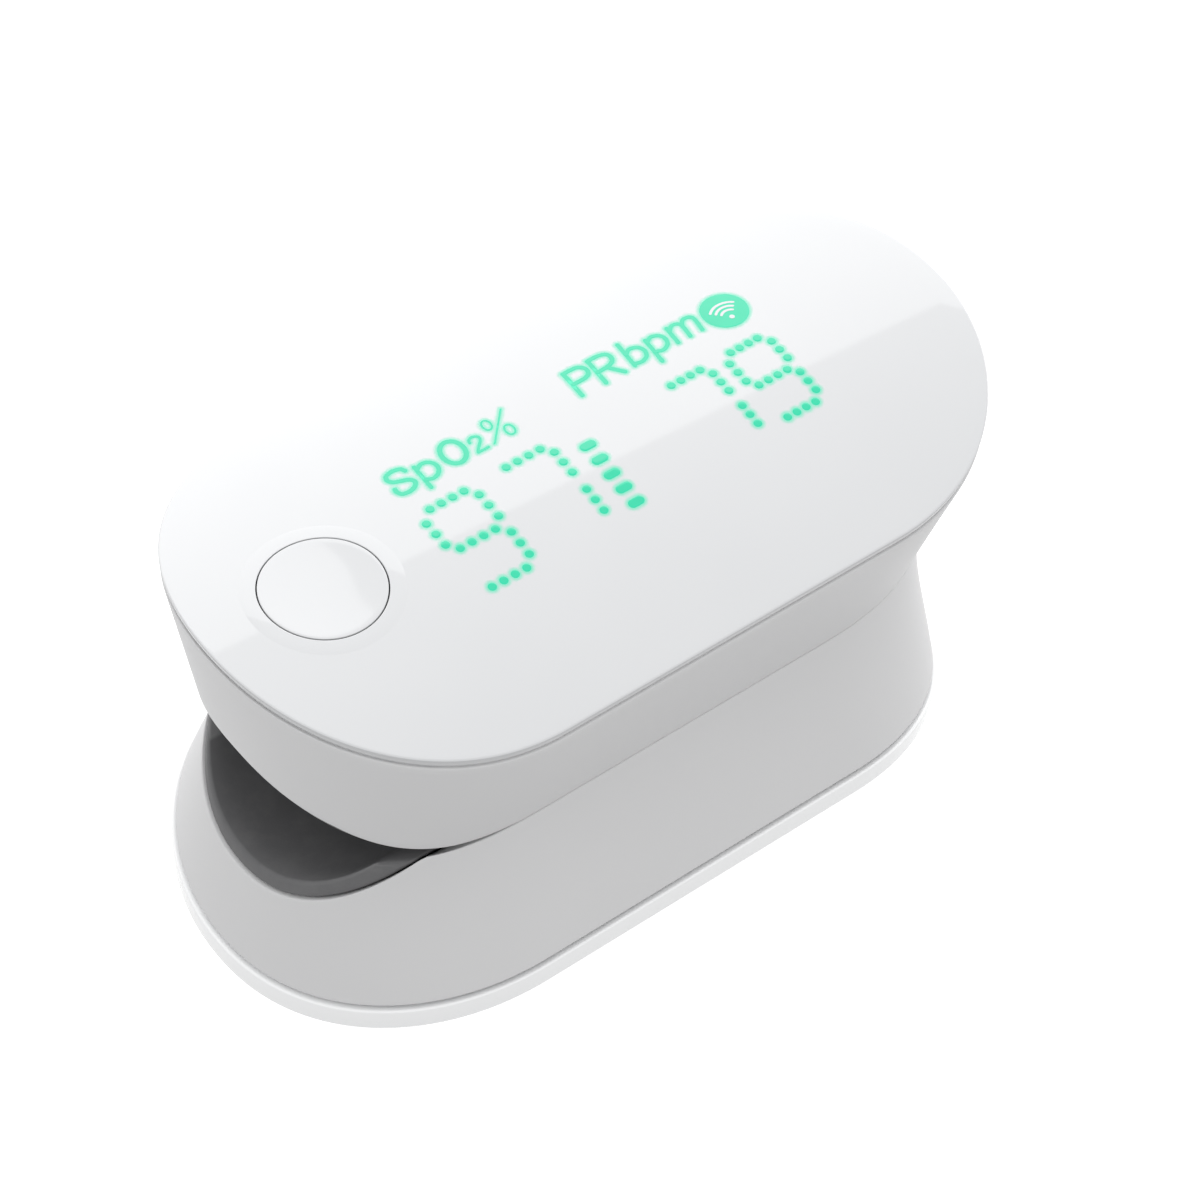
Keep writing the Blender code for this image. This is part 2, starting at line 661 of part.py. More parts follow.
def torsion_spring(name, side, parts, finish):
    """A coil round the pin whose two legs hold the decks together."""
    mean, wire, turns, per_turn = 2.5 * MM, 0.22 * MM, 3.5, 14
    start, pitch = 0.6 * MM, 0.62 * MM
    points = []
    count = int(turns * per_turn)
    for step in range(count + 1):
        turn = 2 * math.pi * step / per_turn
        along = start + pitch * step / per_turn
        points.append((HINGE_X - mean * math.sin(turn), side * along, WAIST_HEIGHT - mean * math.cos(turn)))
    reach = HINGE_X - 3.7 * MM
    low = (reach, side * start, points[0][2])
    high = (reach, points[-1][1], points[-1][2])
    route = [low] + points + [high]
    curve = bpy.data.curves.new(name, "CURVE")
    curve.dimensions = "3D"
    curve.bevel_depth = wire
    curve.bevel_resolution = 1
    curve.use_fill_caps = True
    spline = curve.splines.new("POLY")
    spline.points.add(len(route) - 1)
    for point, place in zip(spline.points, route):
        point.co = (*place, 1.0)
    curve.materials.append(finish)
    obj = bpy.data.objects.new(name, curve)
    parts.objects.link(obj)


def flex_cable(parts, finish):
    """The thin ribbon that joins the two jaws' boards beside the hinge."""
    half, thick = 2.5 * MM, 0.2 * MM
    route = [(13.2, 10.7), (14.4, 10.75), (15.2, 11.2), (15.6, 12.2), (15.6, 17.0), (15.6, 22.0)]
    route += [(15.4, 23.6), (14.7, 24.6), (13.6, 25.0), (12.2, 25.0)]
    route = [(x + 1.2, z) for x, z in route[:3]] + route[3:]
    shape = bmesh.new()
    rows = []
    for at, (x, z) in enumerate(route):
        before, after = route[max(at - 1, 0)], route[min(at + 1, len(route) - 1)]
        run = Vector((after[0] - before[0], after[1] - before[1])).normalized()
        off = Vector((-run.y, run.x)) * thick / 2
        x, z = x * MM, z * MM
        corners = [(x + off.x, -half, z + off.y), (x + off.x, half, z + off.y)]
        corners += [(x - off.x, half, z - off.y), (x - off.x, -half, z - off.y)]
        rows.append([shape.verts.new(corner) for corner in corners])
    for low, high in zip(rows, rows[1:]):
        for at in range(4):
            after = (at + 1) % 4
            shape.faces.new((low[at], low[after], high[after], high[at]))
    shape.faces.new(rows[0])
    shape.faces.new(rows[-1])
    bmesh.ops.recalc_face_normals(shape, faces=shape.faces)
    mesh_object("flex_cable", shape, finish, parts)


def shade(parts):
    for obj in parts.objects:
        if obj.type == "MESH":
            obj.data.shade_smooth()
            obj.data.set_sharp_from_angle(angle=math.radians(35))


def main():
    clear_scene()
    parts = new_collection("fingertip_pulse_oximeter")
    cutters = new_collection("cutters")
    finishes = {
        "gloss": material("gloss_white", (0.86, 0.87, 0.88), 0.08),
        "satin": material("satin_white", (0.62, 0.62, 0.63), 0.45),
        "silicone": material("grey_silicone", (0.06, 0.06, 0.062), 0.55),
        "frame": material("frame_plastic", (0.12, 0.12, 0.125), 0.5),
        "white": material("module_white", (0.8, 0.8, 0.8), 0.4),
        "dark": material("black_plastic", (0.02, 0.02, 0.02), 0.5),
        "board": material("board_green", (0.02, 0.12, 0.05), 0.4),
        "chip": material("chip_black", (0.015, 0.015, 0.017), 0.35),
        "ceramic": material("led_ceramic", (0.8, 0.78, 0.7), 0.4),
        "lens": material("clear_lens", (0.5, 0.5, 0.52), 0.05, alpha=0.35),
        "cell": material("cell_foil", (0.6, 0.61, 0.63), 0.3, 0.9),
        "steel": material("bright_steel", (0.7, 0.7, 0.72), 0.2, 1.0),
        "spring": material("spring_steel", (0.5, 0.5, 0.52), 0.25, 1.0),
        "flex": material("amber_flex", (0.45, 0.2, 0.03), 0.35),
    }
    upper_shell(parts, cutters, finishes["satin"])
    lower_shell(parts, cutters, finishes["satin"])
    top_cover(parts, cutters, finishes["gloss"])
    base_cover(parts, cutters, finishes["gloss"])
    lower_liner(parts, cutters, finishes["frame"])
    upper_liner(parts, cutters, finishes["frame"])
    lower_pad(parts, cutters, finishes["silicone"])
    upper_pad(parts, cutters, finishes["silicone"])
    sensor(parts, finishes)
    button(parts, finishes, cutters)
    display(parts, finishes, cutters)
    power(parts, finishes, cutters)
    screws(parts, finishes["steel"])
    hinge(parts, finishes)
    flex_cable(parts, finishes["flex"])
    shade(parts)


main()
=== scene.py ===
import json
import math

import bpy
import numpy as np
from mathutils import Matrix, Vector


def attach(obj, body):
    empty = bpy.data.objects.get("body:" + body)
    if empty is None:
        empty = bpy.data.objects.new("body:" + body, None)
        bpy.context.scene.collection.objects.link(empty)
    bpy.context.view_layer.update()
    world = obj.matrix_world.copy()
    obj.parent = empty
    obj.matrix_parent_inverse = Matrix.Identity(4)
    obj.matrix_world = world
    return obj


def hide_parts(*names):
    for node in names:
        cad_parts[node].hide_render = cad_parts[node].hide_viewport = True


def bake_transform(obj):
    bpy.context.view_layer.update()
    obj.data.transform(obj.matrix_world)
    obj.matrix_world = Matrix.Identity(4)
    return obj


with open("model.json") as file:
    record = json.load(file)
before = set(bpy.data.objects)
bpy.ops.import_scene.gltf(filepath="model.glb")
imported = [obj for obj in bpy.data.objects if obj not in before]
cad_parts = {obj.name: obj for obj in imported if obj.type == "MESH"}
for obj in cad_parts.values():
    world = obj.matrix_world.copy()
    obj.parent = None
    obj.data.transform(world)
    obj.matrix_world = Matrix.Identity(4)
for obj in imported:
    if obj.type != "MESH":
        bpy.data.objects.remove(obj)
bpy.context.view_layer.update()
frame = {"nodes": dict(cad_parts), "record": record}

mm = 0.001
nodes = frame["nodes"]


# outer form, in millimetres, shared by the covers, shells and pads
form = {
    "length": 62.0, "width": 34.0, "crest": 34.6, "crown": 2.9, "capLength": 16.8, "capPower": 2.1,
    "waistHeight": 17.1, "waistLength": 56.0, "waistWidth": 25.7, "waistCap": 15.8, "waistPower": 2.5,
    "waistHollow": 0.2, "wall": 1.5, "gap": 0.3, "shellInset": 0.3, "upperInset": 0.04, "seam": 0.06,
    "archLift": 0.7, "archEdge": 12.2, "archFade": 4.0,
    "archTail": 15.0, "archTailRun": 10.0, "archTailDrop": 2.5,
    "rimHeight": 2.03, "shellDrop": 1.0,
    "capSteps": 72, "sideSteps": 24,
}
channel = {
    "lowerRadius": 12.41, "lowerCentre": 22.01, "upperRadius": 19.695, "upperCentre": 2.305, "end": 12.5,
    "padThickness": 1.3, "padSetback": 0.15, "padGap": 0.12, "hingeX": 21.0, "notchTurn": 6.6,
}


def lift(y):
    return form["crown"] * (2 * y / form["width"]) ** 2  # how far the crown has fallen away at y


def oval(length, width, cap, power):
    turn = np.linspace(-math.pi / 2, math.pi / 2, form["capSteps"] + 1)
    along = np.maximum(np.cos(turn), 0) ** (2 / power)
    across = np.sign(np.sin(turn)) * np.abs(np.sin(turn)) ** (2 / power)
    end = np.column_stack([length / 2 - cap + cap * along, width / 2 * across])
    steps = np.linspace(0, 1, form["sideSteps"] + 1)[1:-1]
    side = np.column_stack([(length / 2 - cap) * (1 - 2 * steps), np.full(len(steps), width / 2)])
    half = np.vstack([end, side])
    return np.vstack([half, -half])


def insetOval(inset):
    cap = max(form["capLength"] - inset, 0.5)
    return oval(form["length"] - 2 * inset, form["width"] - 2 * inset, cap, form["capPower"])


def waistOval(inset):
    length, width = form["waistLength"] - 2 * inset, form["waistWidth"] - 2 * inset
    return oval(length, width, form["waistCap"] - inset, form["waistPower"])


def onTop(flat, drop):
    return np.column_stack([flat, form["crest"] - drop - lift(flat[:, 1])])


def onBase(flat, height):
    return np.column_stack([flat, np.maximum(lift(flat[:, 1]) + height, 0)])


def topRing(inset, drop):
    return onTop(insetOval(inset), drop)


def baseRing(inset, height):
    return onBase(insetOval(inset), height)


# working on meshes
def pickOnly(piece):
    bpy.ops.object.select_all(action="DESELECT")
    piece.select_set(True)
    bpy.context.view_layer.objects.active = piece


def named(name):
    piece = bpy.context.object
    piece.name = name
    piece.data.name = name
    return piece


def inEditMode(piece, *steps):
    pickOnly(piece)
    bpy.ops.object.mode_set(mode="EDIT")
    bpy.ops.mesh.select_all(action="SELECT")
    for step in steps:
        step()
    bpy.ops.object.mode_set(mode="OBJECT")


def weldAndTurnOut():
    bpy.ops.mesh.select_all(action="SELECT")
    bpy.ops.mesh.remove_doubles(threshold=0.002 * mm)
    bpy.ops.mesh.normals_make_consistent(inside=False)


def closeEnds():
    bpy.ops.mesh.select_all(action="DESELECT")
    bpy.ops.mesh.select_non_manifold()
    bpy.ops.mesh.fill_holes(sides=0)
    weldAndTurnOut()


def applyModifier(piece, kind, **settings):
    pickOnly(piece)
    modifier = piece.modifiers.new(kind.lower(), kind)
    for key, value in settings.items():
        setattr(modifier, key, value)
    bpy.ops.object.modifier_apply(modifier=modifier.name)


def roundEdges(piece, width, segments=3, turn=35):
    settings = {"width": width * mm, "segments": segments, "limit_method": "ANGLE"}
    applyModifier(piece, "BEVEL", angle_limit=math.radians(turn), **settings)


def cutWith(piece, cutter, operation="DIFFERENCE"):
    applyModifier(piece, "BOOLEAN", operation=operation, object=cutter, solver="EXACT")
    bpy.data.objects.remove(cutter)


def smooth(piece, turn=32):
    pickOnly(piece)
    bpy.ops.object.shade_smooth_by_angle(angle=math.radians(turn))


def settle(piece):
    pickOnly(piece)
    bpy.ops.object.transform_apply(location=True, rotation=True, scale=True)


def join(name, pieces):
    bpy.ops.object.select_all(action="DESELECT")
    for piece in pieces:
        piece.select_set(True)
    bpy.context.view_layer.objects.active = pieces[0]
    if len(pieces) > 1:
        bpy.ops.object.join()
    return named(name)


def pullRings(name, rings):
    # a circle is drawn up ring by ring, and then each ring is let out to its own outline
    count = len(rings[0])
    bpy.ops.object.select_all(action="DESELECT")
    bpy.ops.mesh.primitive_circle_add(vertices=count, radius=20 * mm)
    piece = named(name)
    start = math.atan2(piece.data.vertices[0].co.y, piece.data.vertices[0].co.x)
    bpy.ops.object.mode_set(mode="EDIT")
    bpy.ops.mesh.select_all(action="SELECT")
    for ring in rings[1:]:
        bpy.ops.mesh.extrude_region_move(TRANSFORM_OT_translate={"value": (0, 0, mm)})
    bpy.ops.object.mode_set(mode="OBJECT")
    raw = np.array([vertex.co for vertex in piece.data.vertices])
    level = np.rint(raw[:, 2] / mm).astype(int)
    turn = np.rint((np.arctan2(raw[:, 1], raw[:, 0]) - start) * count / (2 * math.pi)).astype(int) % count
    place = np.array(rings)[level, turn] * mm
    piece.data.vertices.foreach_set("co", place.astype(np.float32).ravel())
    piece.data.update()
    inEditMode(piece, weldAndTurnOut)
    return piece


def disc(radius, height, count, x=0.0, y=0.0):
    turn = np.linspace(0, 2 * math.pi, count, endpoint=False)
    return np.column_stack([x + radius * np.cos(turn), y + radius * np.sin(turn), np.full(count, height)])


def turnedPiece(name, profile, x, y, count=96):
    # profile is (radius, height) pairs from the axis round to the axis
    return pullRings(name, [disc(max(radius, 0.0), height, count, x, y) for radius, height in profile])


def roundedCorner(inner, corner, outer, radius, steps=5):
    # points of a quarter round that takes the place of a square corner, in the plane of a profile
    inner, corner, outer = (np.array(point, float) for point in (inner, corner, outer))
    first = corner + (inner - corner) / np.linalg.norm(inner - corner) * radius
    last = corner + (outer - corner) / np.linalg.norm(outer - corner) * radius
    made = []
    for share in np.linspace(0, 1, steps):
        made.append((1 - share) ** 2 * first + 2 * share * (1 - share) * corner + share**2 * last)
    return made


# materials
class Link:
    def __init__(self, tree, socket):
        self.tree = tree
        self.socket = socket

    def maths(self, operation, first, second):
        node = self.tree.nodes.new("ShaderNodeMath")
        node.operation = operation
        for port, item in zip(node.inputs, (first, second)):
            feed(self.tree, port, item)
        return Link(self.tree, node.outputs[0])

    def __add__(self, other):
        return self.maths("ADD", self, other)

    def __radd__(self, other):
        return self.maths("ADD", other, self)

    def __sub__(self, other):
        return self.maths("SUBTRACT", self, other)

    def __rsub__(self, other):
        return self.maths("SUBTRACT", other, self)

    def __mul__(self, other):
        return self.maths("MULTIPLY", self, other)

    def __rmul__(self, other):
        return self.maths("MULTIPLY", other, self)

    def __gt__(self, other):
        return self.maths("GREATER_THAN", self, other)

    def __lt__(self, other):
        return self.maths("LESS_THAN", self, other)


def feed(tree, port, item):
    if isinstance(item, Link):
        tree.links.new(item.socket, port)
    else:
        port.default_value = item


def rampStops(ramp, stops):
    ramp.elements.remove(ramp.elements[1])
    ramp.elements[0].position = stops[0][0]
    ramp.elements[0].color = (*stops[0][1], 1.0)
    for position, colour in stops[1:]:
        ramp.elements.new(position).color = (*colour, 1.0)


class Finish:
    def __init__(self, name, **fixed):
        self.made = bpy.data.materials.new(name)
        self.made.use_nodes = True
        self.tree = self.made.node_tree
        self.shader = self.tree.nodes["Principled BSDF"]
        self.place = self.node("TexCoord", output="Object")
        for port, value in fixed.items():
            self.give(port.replace("_", " "), value)

    def node(self, kind, settings=None, inputs=None, output=0):
        made = self.tree.nodes.new("ShaderNode" + kind)
        for key, value in (settings or {}).items():
            if key == "stops":
                rampStops(made.color_ramp, value)
            else:
                setattr(made, key, value)
        for key, value in (inputs or {}).items():
            feed(self.tree, made.inputs[key], value)
        return Link(self.tree, made.outputs[output])

    def give(self, port, value):
        feed(self.tree, self.shader.inputs[port], value)

    def noise(self, size, detail=2.0, rough=0.5, vector=None):
        # size is the width of one blotch in millimetres
        inputs = {"Vector": vector or self.place, "Scale": 1 / (size * mm)}
        inputs.update({"Detail": detail, "Roughness": rough})
        return self.node("TexNoise", None, inputs)

    def cells(self, size, feature="F1", output="Distance"):
        inputs = {"Vector": self.place, "Scale": 1 / (size * mm)}
        return self.node("TexVoronoi", {"feature": feature}, inputs, output)

    def stretched(self, x, y, z):
        return self.node("Mapping", None, {"Vector": self.place, "Scale": (x, y, z)})

    def part(self, axis, vector=None):
        return self.node("SeparateXYZ", None, {0: vector or self.place}, axis)

    def mix(self, factor, first, second, blend="MIX"):
        inputs = {0: factor}
        for port, item in ((6, first), (7, second)):
            inputs[port] = item if isinstance(item, Link) else (*item, 1.0)
        return self.node("Mix", {"data_type": "RGBA", "blend_type": blend}, inputs, 2)

    def span(self, value, low, high):
        # value from 0 to 1 made to run from low to high
        return value * (high - low) + low

    def edges(self, low=0.5, high=0.56):
        worn = self.node("NewGeometry", output="Pointiness")
        return self.node("MapRange", {"clamp": True}, {0: worn, 1: low, 2: high})

    def bump(self, height, depth, under=None):
        inputs = {"Height": height, "Distance": depth * mm, "Strength": 1.0}
        if under is not None:
            inputs["Normal"] = under
        return self.node("Bump", None, inputs)


def plastic(name, colour, roughness, grain=0.12, depth=0.004, mottle=0.02, wear=0.03, **fixed):
    finish = Finish(name, **fixed)
    cloud = finish.noise(9.0, 3.0, 0.55)
    fine = finish.noise(grain, 3.0, 0.6)
    light = tuple(min(part * (1 + mottle) + wear, 1.0) for part in colour)
    dark = tuple(part * (1 - mottle) for part in colour)
    tone = finish.mix(cloud, dark, tuple(part * (1 + mottle) for part in colour))
    finish.give("Base Color", finish.mix(finish.edges() * 0.5, tone, light))
    finish.give("Roughness", finish.span(fine * 0.5 + cloud * 0.5, roughness - 0.05, roughness + 0.06))
    finish.give("Normal", finish.bump(fine, depth))
    return finish.made


def glossyWhite(name, dark, light, sideShadeShare):
    # clear-topped white acrylic with the faint ripple of a moulded face and hairline rub marks, and a darker
    # base colour on faces that turn away from upward: painted shade on the sides
    finish = Finish(name, IOR=1.49)
    cloud = finish.noise(14.0, 2.0, 0.5)
    ripple = finish.noise(6.0, 1.0, 0.4)
    rubs = finish.noise(0.35, 4.0, 0.7, finish.stretched(0.12, 1.0, 1.0))
    tone = finish.mix(cloud, dark, light)
    upward = finish.part(2, finish.node("TexCoord", output="Normal"))
    side = tuple(part * sideShadeShare for part in dark)
    # faces turned away from upward take the darker side colour: painted shade, not a colour of the acrylic
    finish.give("Base Color", finish.mix(upward < 0.45, tone, side))
    finish.give("Roughness", finish.span(rubs * cloud, 0.035, 0.10))
    finish.give("Normal", finish.bump(ripple, 0.0025))
    return finish.made


def siliconeGrey():
    # soft rubber: matt, a little dusty, with a fine sparked grain
    finish = Finish("siliconeGrey", IOR=1.41)
    fine = finish.noise(0.16, 4.0, 0.6)
    dust = finish.noise(2.2, 4.0, 0.65)
    dusty = finish.node("MapRange", {"clamp": True}, {0: dust, 1: 0.45, 2: 0.75})
    tone = finish.mix(dusty, look["siliconeDark"], look["siliconeDust"])
    finish.give("Base Color", finish.mix(finish.edges(0.5, 0.58) * 0.5, tone, look["siliconeEdge"]))
    finish.give("Roughness", finish.span(fine * 0.4 + dust * 0.6, 0.5, 0.72))
    finish.give("Normal", finish.bump(fine, 0.006))
    return finish.made


def metal(name, colour, roughness, streak=(1.0, 1.0, 0.06), scratch=0.25, **fixed):
    finish = Finish(name, Metallic=1.0, **fixed)
    lines = finish.noise(scratch, 4.0, 0.7, finish.stretched(*streak))
    stain = finish.noise(2.5, 3.0, 0.6)
    dull = tuple(part * 0.78 for part in colour)
    finish.give("Base Color", finish.mix(stain * 0.6 + lines * 0.4, dull, colour))
    finish.give("Roughness", finish.span(lines * 0.6 + stain * 0.4, roughness - 0.06, roughness + 0.12))
    finish.give("Normal", finish.bump(lines, 0.002))
    return finish.made


def circuitBoard():
    # green solder mask over tracks, with tinned pads and fibre edges
    finish = Finish("circuitBoard", IOR=1.5)
    x, y = finish.part(0), finish.part(1)
    wander = finish.noise(1.6, 1.0, 0.4)
    lanes = finish.node("Math", {"operation": "SINE"}, {0: (y * 1000 + wander * 1.6) * 7.0})
    rungs = finish.node("Math", {"operation": "SINE"}, {0: (x * 1000 + wander * 1.2) * 5.0})
    region = finish.noise(3.2, 0.0, 0.0) > 0.5
    tracks = (lanes > 0.35) * region + (rungs > 0.45) * (1 - region)
    vias = finish.cells(1.9) < 0.13
    pads = finish.cells(3.1) < 0.16
    mask = finish.mix(tracks * 0.8, (0.004, 0.055, 0.02), (0.012, 0.13, 0.045))
    tinned = finish.mix(pads, mask, (0.62, 0.6, 0.55))
    finish.give("Base Color", finish.mix(vias, tinned, (0.5, 0.36, 0.12)))
    finish.give("Metallic", (vias + pads * (1 - vias)) * 0.9)
    finish.give("Roughness", 0.34 + finish.noise(0.3, 3.0, 0.6) * 0.14)
    finish.give("Normal", finish.bump(tracks + pads * 1.5, 0.02))
    return finish.made


def chipBlack():
    finish = Finish("chipBlack", IOR=1.5)
    grit = finish.noise(0.09, 3.0, 0.65)
    haze = finish.noise(1.8, 2.0, 0.5)
    finish.give("Base Color", finish.mix(haze, (0.011, 0.011, 0.012), (0.024, 0.024, 0.026)))
    finish.give("Roughness", finish.span(grit, 0.36, 0.6))
    finish.give("Normal", finish.bump(grit, 0.006))
    return finish.made


def clearLens():
    finish = Finish("clearLens", IOR=1.49, Transmission_Weight=0.85)
    haze = finish.noise(1.1, 3.0, 0.6)
    finish.give("Base Color", finish.mix(haze, (0.62, 0.60, 0.62), (0.80, 0.79, 0.80)))
    finish.give("Roughness", finish.span(haze, 0.03, 0.12))
    finish.give("Normal", finish.bump(haze, 0.004))
    return finish.made


def cellFoil():
    # the crinkled laminate round a pouch cell
    finish = Finish("cellFoil", Metallic=0.85)
    crease = finish.cells(2.4, "DISTANCE_TO_EDGE")
    fine = finish.noise(0.5, 4.0, 0.6)
    finish.give("Base Color", finish.mix(fine, (0.44, 0.45, 0.47), (0.62, 0.63, 0.64)))
    finish.give("Roughness", finish.span(fine, 0.26, 0.44))
    finish.give("Normal", finish.bump(crease * 0.7 + fine * 0.3, 0.05))
    return finish.made


def amberFlex():
    # copper tracks under amber film
    finish = Finish("amberFlex", IOR=1.6)
    ways = finish.node("Math", {"operation": "SINE"}, {0: finish.part(1) * 1000 * 9.0}) > 0.1
    haze = finish.noise(1.4, 3.0, 0.5)
    film = finish.mix(haze, (0.40, 0.15, 0.02), (0.52, 0.22, 0.035))
    finish.give("Base Color", finish.mix(ways * 0.85, film, (0.66, 0.30, 0.07)))
    finish.give("Roughness", finish.span(haze, 0.24, 0.4))
    finish.give("Normal", finish.bump(ways * 0.6 + haze * 0.4, 0.012))
    return finish.made


def ceramic():
    # pale lamp body with the dark dies showing through its clear fill
    finish = Finish("lampCeramic", IOR=1.5)
    speck = finish.noise(0.12, 3.0, 0.7)
    dies = finish.cells(1.3) < 0.22
    body = finish.mix(speck, (0.66, 0.63, 0.54), (0.80, 0.78, 0.70))
    finish.give("Base Color", finish.mix(dies, body, (0.12, 0.02, 0.02)))
    finish.give("Roughness", finish.span(speck, 0.22, 0.42))
    finish.give("Normal", finish.bump(speck, 0.004))
    return finish.made


def glowInk(name, colour, strength):
    # light from the lamps behind the cover, evened out by the white layer
    finish = Finish(name, IOR=1.49, Emission_Strength=strength)
    patch = finish.noise(0.9, 2.0, 0.5)
    dim = tuple(part * 0.93 for part in colour)
    finish.give("Base Color", finish.mix(patch, look["inkDark"], look["inkLight"]))
    finish.give("Emission Color", finish.mix(patch, dim, colour))
    finish.give("Roughness", finish.span(patch, 0.05, 0.09))
    return finish.made


def glowHaze():
    # the soft spill round each lit mark: its strength is stored on the film itself
    finish = Finish("glowHaze", IOR=1.49, Emission_Strength=1.0)
    amount = finish.node("Attribute", {"attribute_name": "spill"}, None, 2)
    patch = finish.noise(1.3, 2.0, 0.5)
    finish.give("Base Color", finish.mix(patch, look["inkDark"], look["inkLight"]))
    dim = tuple(part * 0.94 for part in look["haze"])
    finish.give("Emission Color", finish.mix(patch, dim, look["haze"]))
    finish.give("Alpha", amount * (0.92 + patch * 0.12))
    finish.give("Roughness", finish.span(patch, 0.05, 0.09))
    return finish.made


look = {
    "coverDark": (0.57, 0.577, 0.587), "coverLight": (0.595, 0.601, 0.61),
    "baseDark": (0.83, 0.835, 0.84), "baseLight": (0.87, 0.875, 0.88),
    # the two side shares darken the side faces of the white covers: painted shade
    "coverSideShade": 0.8, "baseSideShade": 0.98, "shell": (0.565, 0.565, 0.57), "shellRoughness": 0.46,
    "siliconeDark": (0.078, 0.078, 0.081), "siliconeDust": (0.096, 0.096, 0.098),
    "siliconeEdge": (0.26, 0.26, 0.262),
    "inkDark": (0.01, 0.05, 0.035), "inkLight": (0.012, 0.06, 0.04),
    "ink": (0.015, 0.66, 0.38), "haze": (0.12, 0.93, 0.60),
}
gloss = glossyWhite("glossyWhite", look["coverDark"], look["coverLight"], look["coverSideShade"])
baseGloss = glossyWhite("baseWhite", look["baseDark"], look["baseLight"], look["baseSideShade"])
satinGrain = {"grain": 0.16, "depth": 0.006, "mottle": 0.012, "wear": 0.03}
satin = plastic("satinWhite", look["shell"], look["shellRoughness"], Specular_IOR_Level=0.25, **satinGrain)
silicone = siliconeGrey()
slotFinish = {
    "frame_plastic": plastic("framePlastic", (0.11, 0.11, 0.115), 0.5, grain=0.2, depth=0.008, mottle=0.1),
    "black_plastic": plastic(
        "blackPlastic", (0.018, 0.018, 0.02), 0.42, grain=0.14, depth=0.005, mottle=0.15, wear=0.02
    ),
    "module_white": plastic("moduleWhite", (0.72, 0.72, 0.70), 0.38, grain=0.12, depth=0.004, mottle=0.03),
    "circuit_board": circuitBoard(),
    "chip_black": chipBlack(),
    "shield_steel": metal("shieldSteel", (0.66, 0.66, 0.68), 0.32),
    "bright_steel": metal("brightSteel", (0.74, 0.74, 0.76), 0.2),
    "screw_steel": metal("screwSteel", (0.42, 0.42, 0.44), 0.3, scratch=0.15),
    "spring_steel": metal("springSteel", (0.60, 0.60, 0.63), 0.25, (1.0, 1.0, 1.0), 0.12),
    "led_ceramic": ceramic(),
    "clear_lens": clearLens(),
    "cell_foil": cellFoil(),
    "amber_flex": amberFlex(),
    "satin_shell": satin,
    "gloss_cover": gloss,
    "silicone": silicone,
}
print("finishes made")


def dress(piece, finish, body, slot, *stoodFor):
    piece.data.materials.clear()
    piece.data.materials.append(finish)
    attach(piece, body)
    if stoodFor:
        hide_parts(*stoodFor)
    return piece


# top cover
coverValues = {
    "thickness": 1.9, "edge": 0.9, "topRound": 0.14, "footTaper": 0.2, "crownRings": 34,
    "buttonX": -21.8, "holeRadius": 4.42, "holeEdge": 0.04, "collarReach": 1.1, "collarRise": 0.045,
}


def coverSkin(values):
    outer = insetOval(0)
    turn = np.arctan2(outer[:, 1], outer[:, 0] - values["buttonX"])

    def round(radius):
        return np.column_stack([values["buttonX"] + radius * np.cos(turn), radius * np.sin(turn)])

    plug = form["wall"] + form["shellInset"] + 2 * form["gap"]
    rings = []
    hole, soft = values["holeRadius"], values["holeEdge"]
    rise, reach = values["collarRise"], values["collarReach"]
    rings.append(onTop(round(hole), values["thickness"]))
    for out, down in ((0, 4 * soft), (0, soft), (0.3 * soft, 0.3 * soft), (soft, 0)):
        rings.append(onTop(round(hole + out), down - rise))
    for share in (0.04, 0.1, 0.2, 0.32, 0.45, 0.58, 0.7, 0.8, 0.88, 0.94, 0.98, 1.0):
        rings.append(onTop(round(hole + soft + reach * share), -rise * (1 - share**2.6)))
    for share in (0.04, 0.1, 0.2, 0.35):
        rings.append(onTop(round(hole + soft + reach + share), 0))
    start = round(hole + soft + reach + 0.5)
    rings.append(onTop(start, 0))
    edge = insetOval(values["topRound"])
    for share in np.linspace(0, 1, values["crownRings"])[1:]:
        rings.append(onTop(start + (edge - start) * share, 0))
    top = values["topRound"]
    for angle in np.linspace(0, math.pi / 2, 9)[1:]:
        rings.append(topRing(top * (1 - math.sin(angle)), top * (1 - math.cos(angle))))
    taper = values["footTaper"]
    for share in (0.35, 0.7, 0.9):
        rings.append(topRing(taper * share**1.5, top + (values["edge"] - top) * share))
    rings += [topRing(taper, values["edge"]), topRing(plug, values["edge"])]
    rings.append(topRing(plug, values["thickness"]))
    inner = insetOval(plug)
    under = round(hole)
    for share in np.linspace(0, 1, 12)[1:]:
        rings.append(onTop(inner + (under - inner) * share, values["thickness"]))
    return rings


topCover = pullRings("coverTop", coverSkin(coverValues))
smooth(topCover, 40)
dress(topCover, gloss, "upper_jaw", "gloss_cover", "top_cover")
print("top cover made")


# button
buttonValues = {
    "radius": 4.33, "top": 34.66, "edgeRound": 0.06, "dish": 0.17,
    "flange": 5.0, "flangeTop": 32.3, "flangeLow": 31.5,
}


def buttonProfile(values):
    radius, top, edge = values["radius"], values["top"], values["edgeRound"]
    rim = radius - edge - 0.1
    profile = []
    for share in np.linspace(0, 1, 18):
        profile.append((rim * share, top - values["dish"] * (1 - share**2.2)))
    profile.append((radius - edge, top))
    profile += [tuple(point) for point in roundedCorner((0, top), (radius, top), (radius, 0), edge, 6)]
    profile += [(radius, values["flangeTop"]), (values["flange"], values["flangeTop"])]
    profile += [(values["flange"], values["flangeLow"]), (0, values["flangeLow"])]
    return profile


button = turnedPiece("buttonCap", buttonProfile(buttonValues), coverValues["buttonX"], 0.0, 144)
for vertex in button.data.vertices:
    if vertex.co.z > (buttonValues["top"] - 1) * mm:
        vertex.co.z -= lift(vertex.co.y / mm) * mm  # the face carries on the crown of the cover
smooth(button, 40)
dress(button, gloss, "button", "gloss_cover", "button_cap")
print("button made")


# shells
shellValues = {"upperRings": 14, "lowerRings": 20, "edgeRound": 0.14}


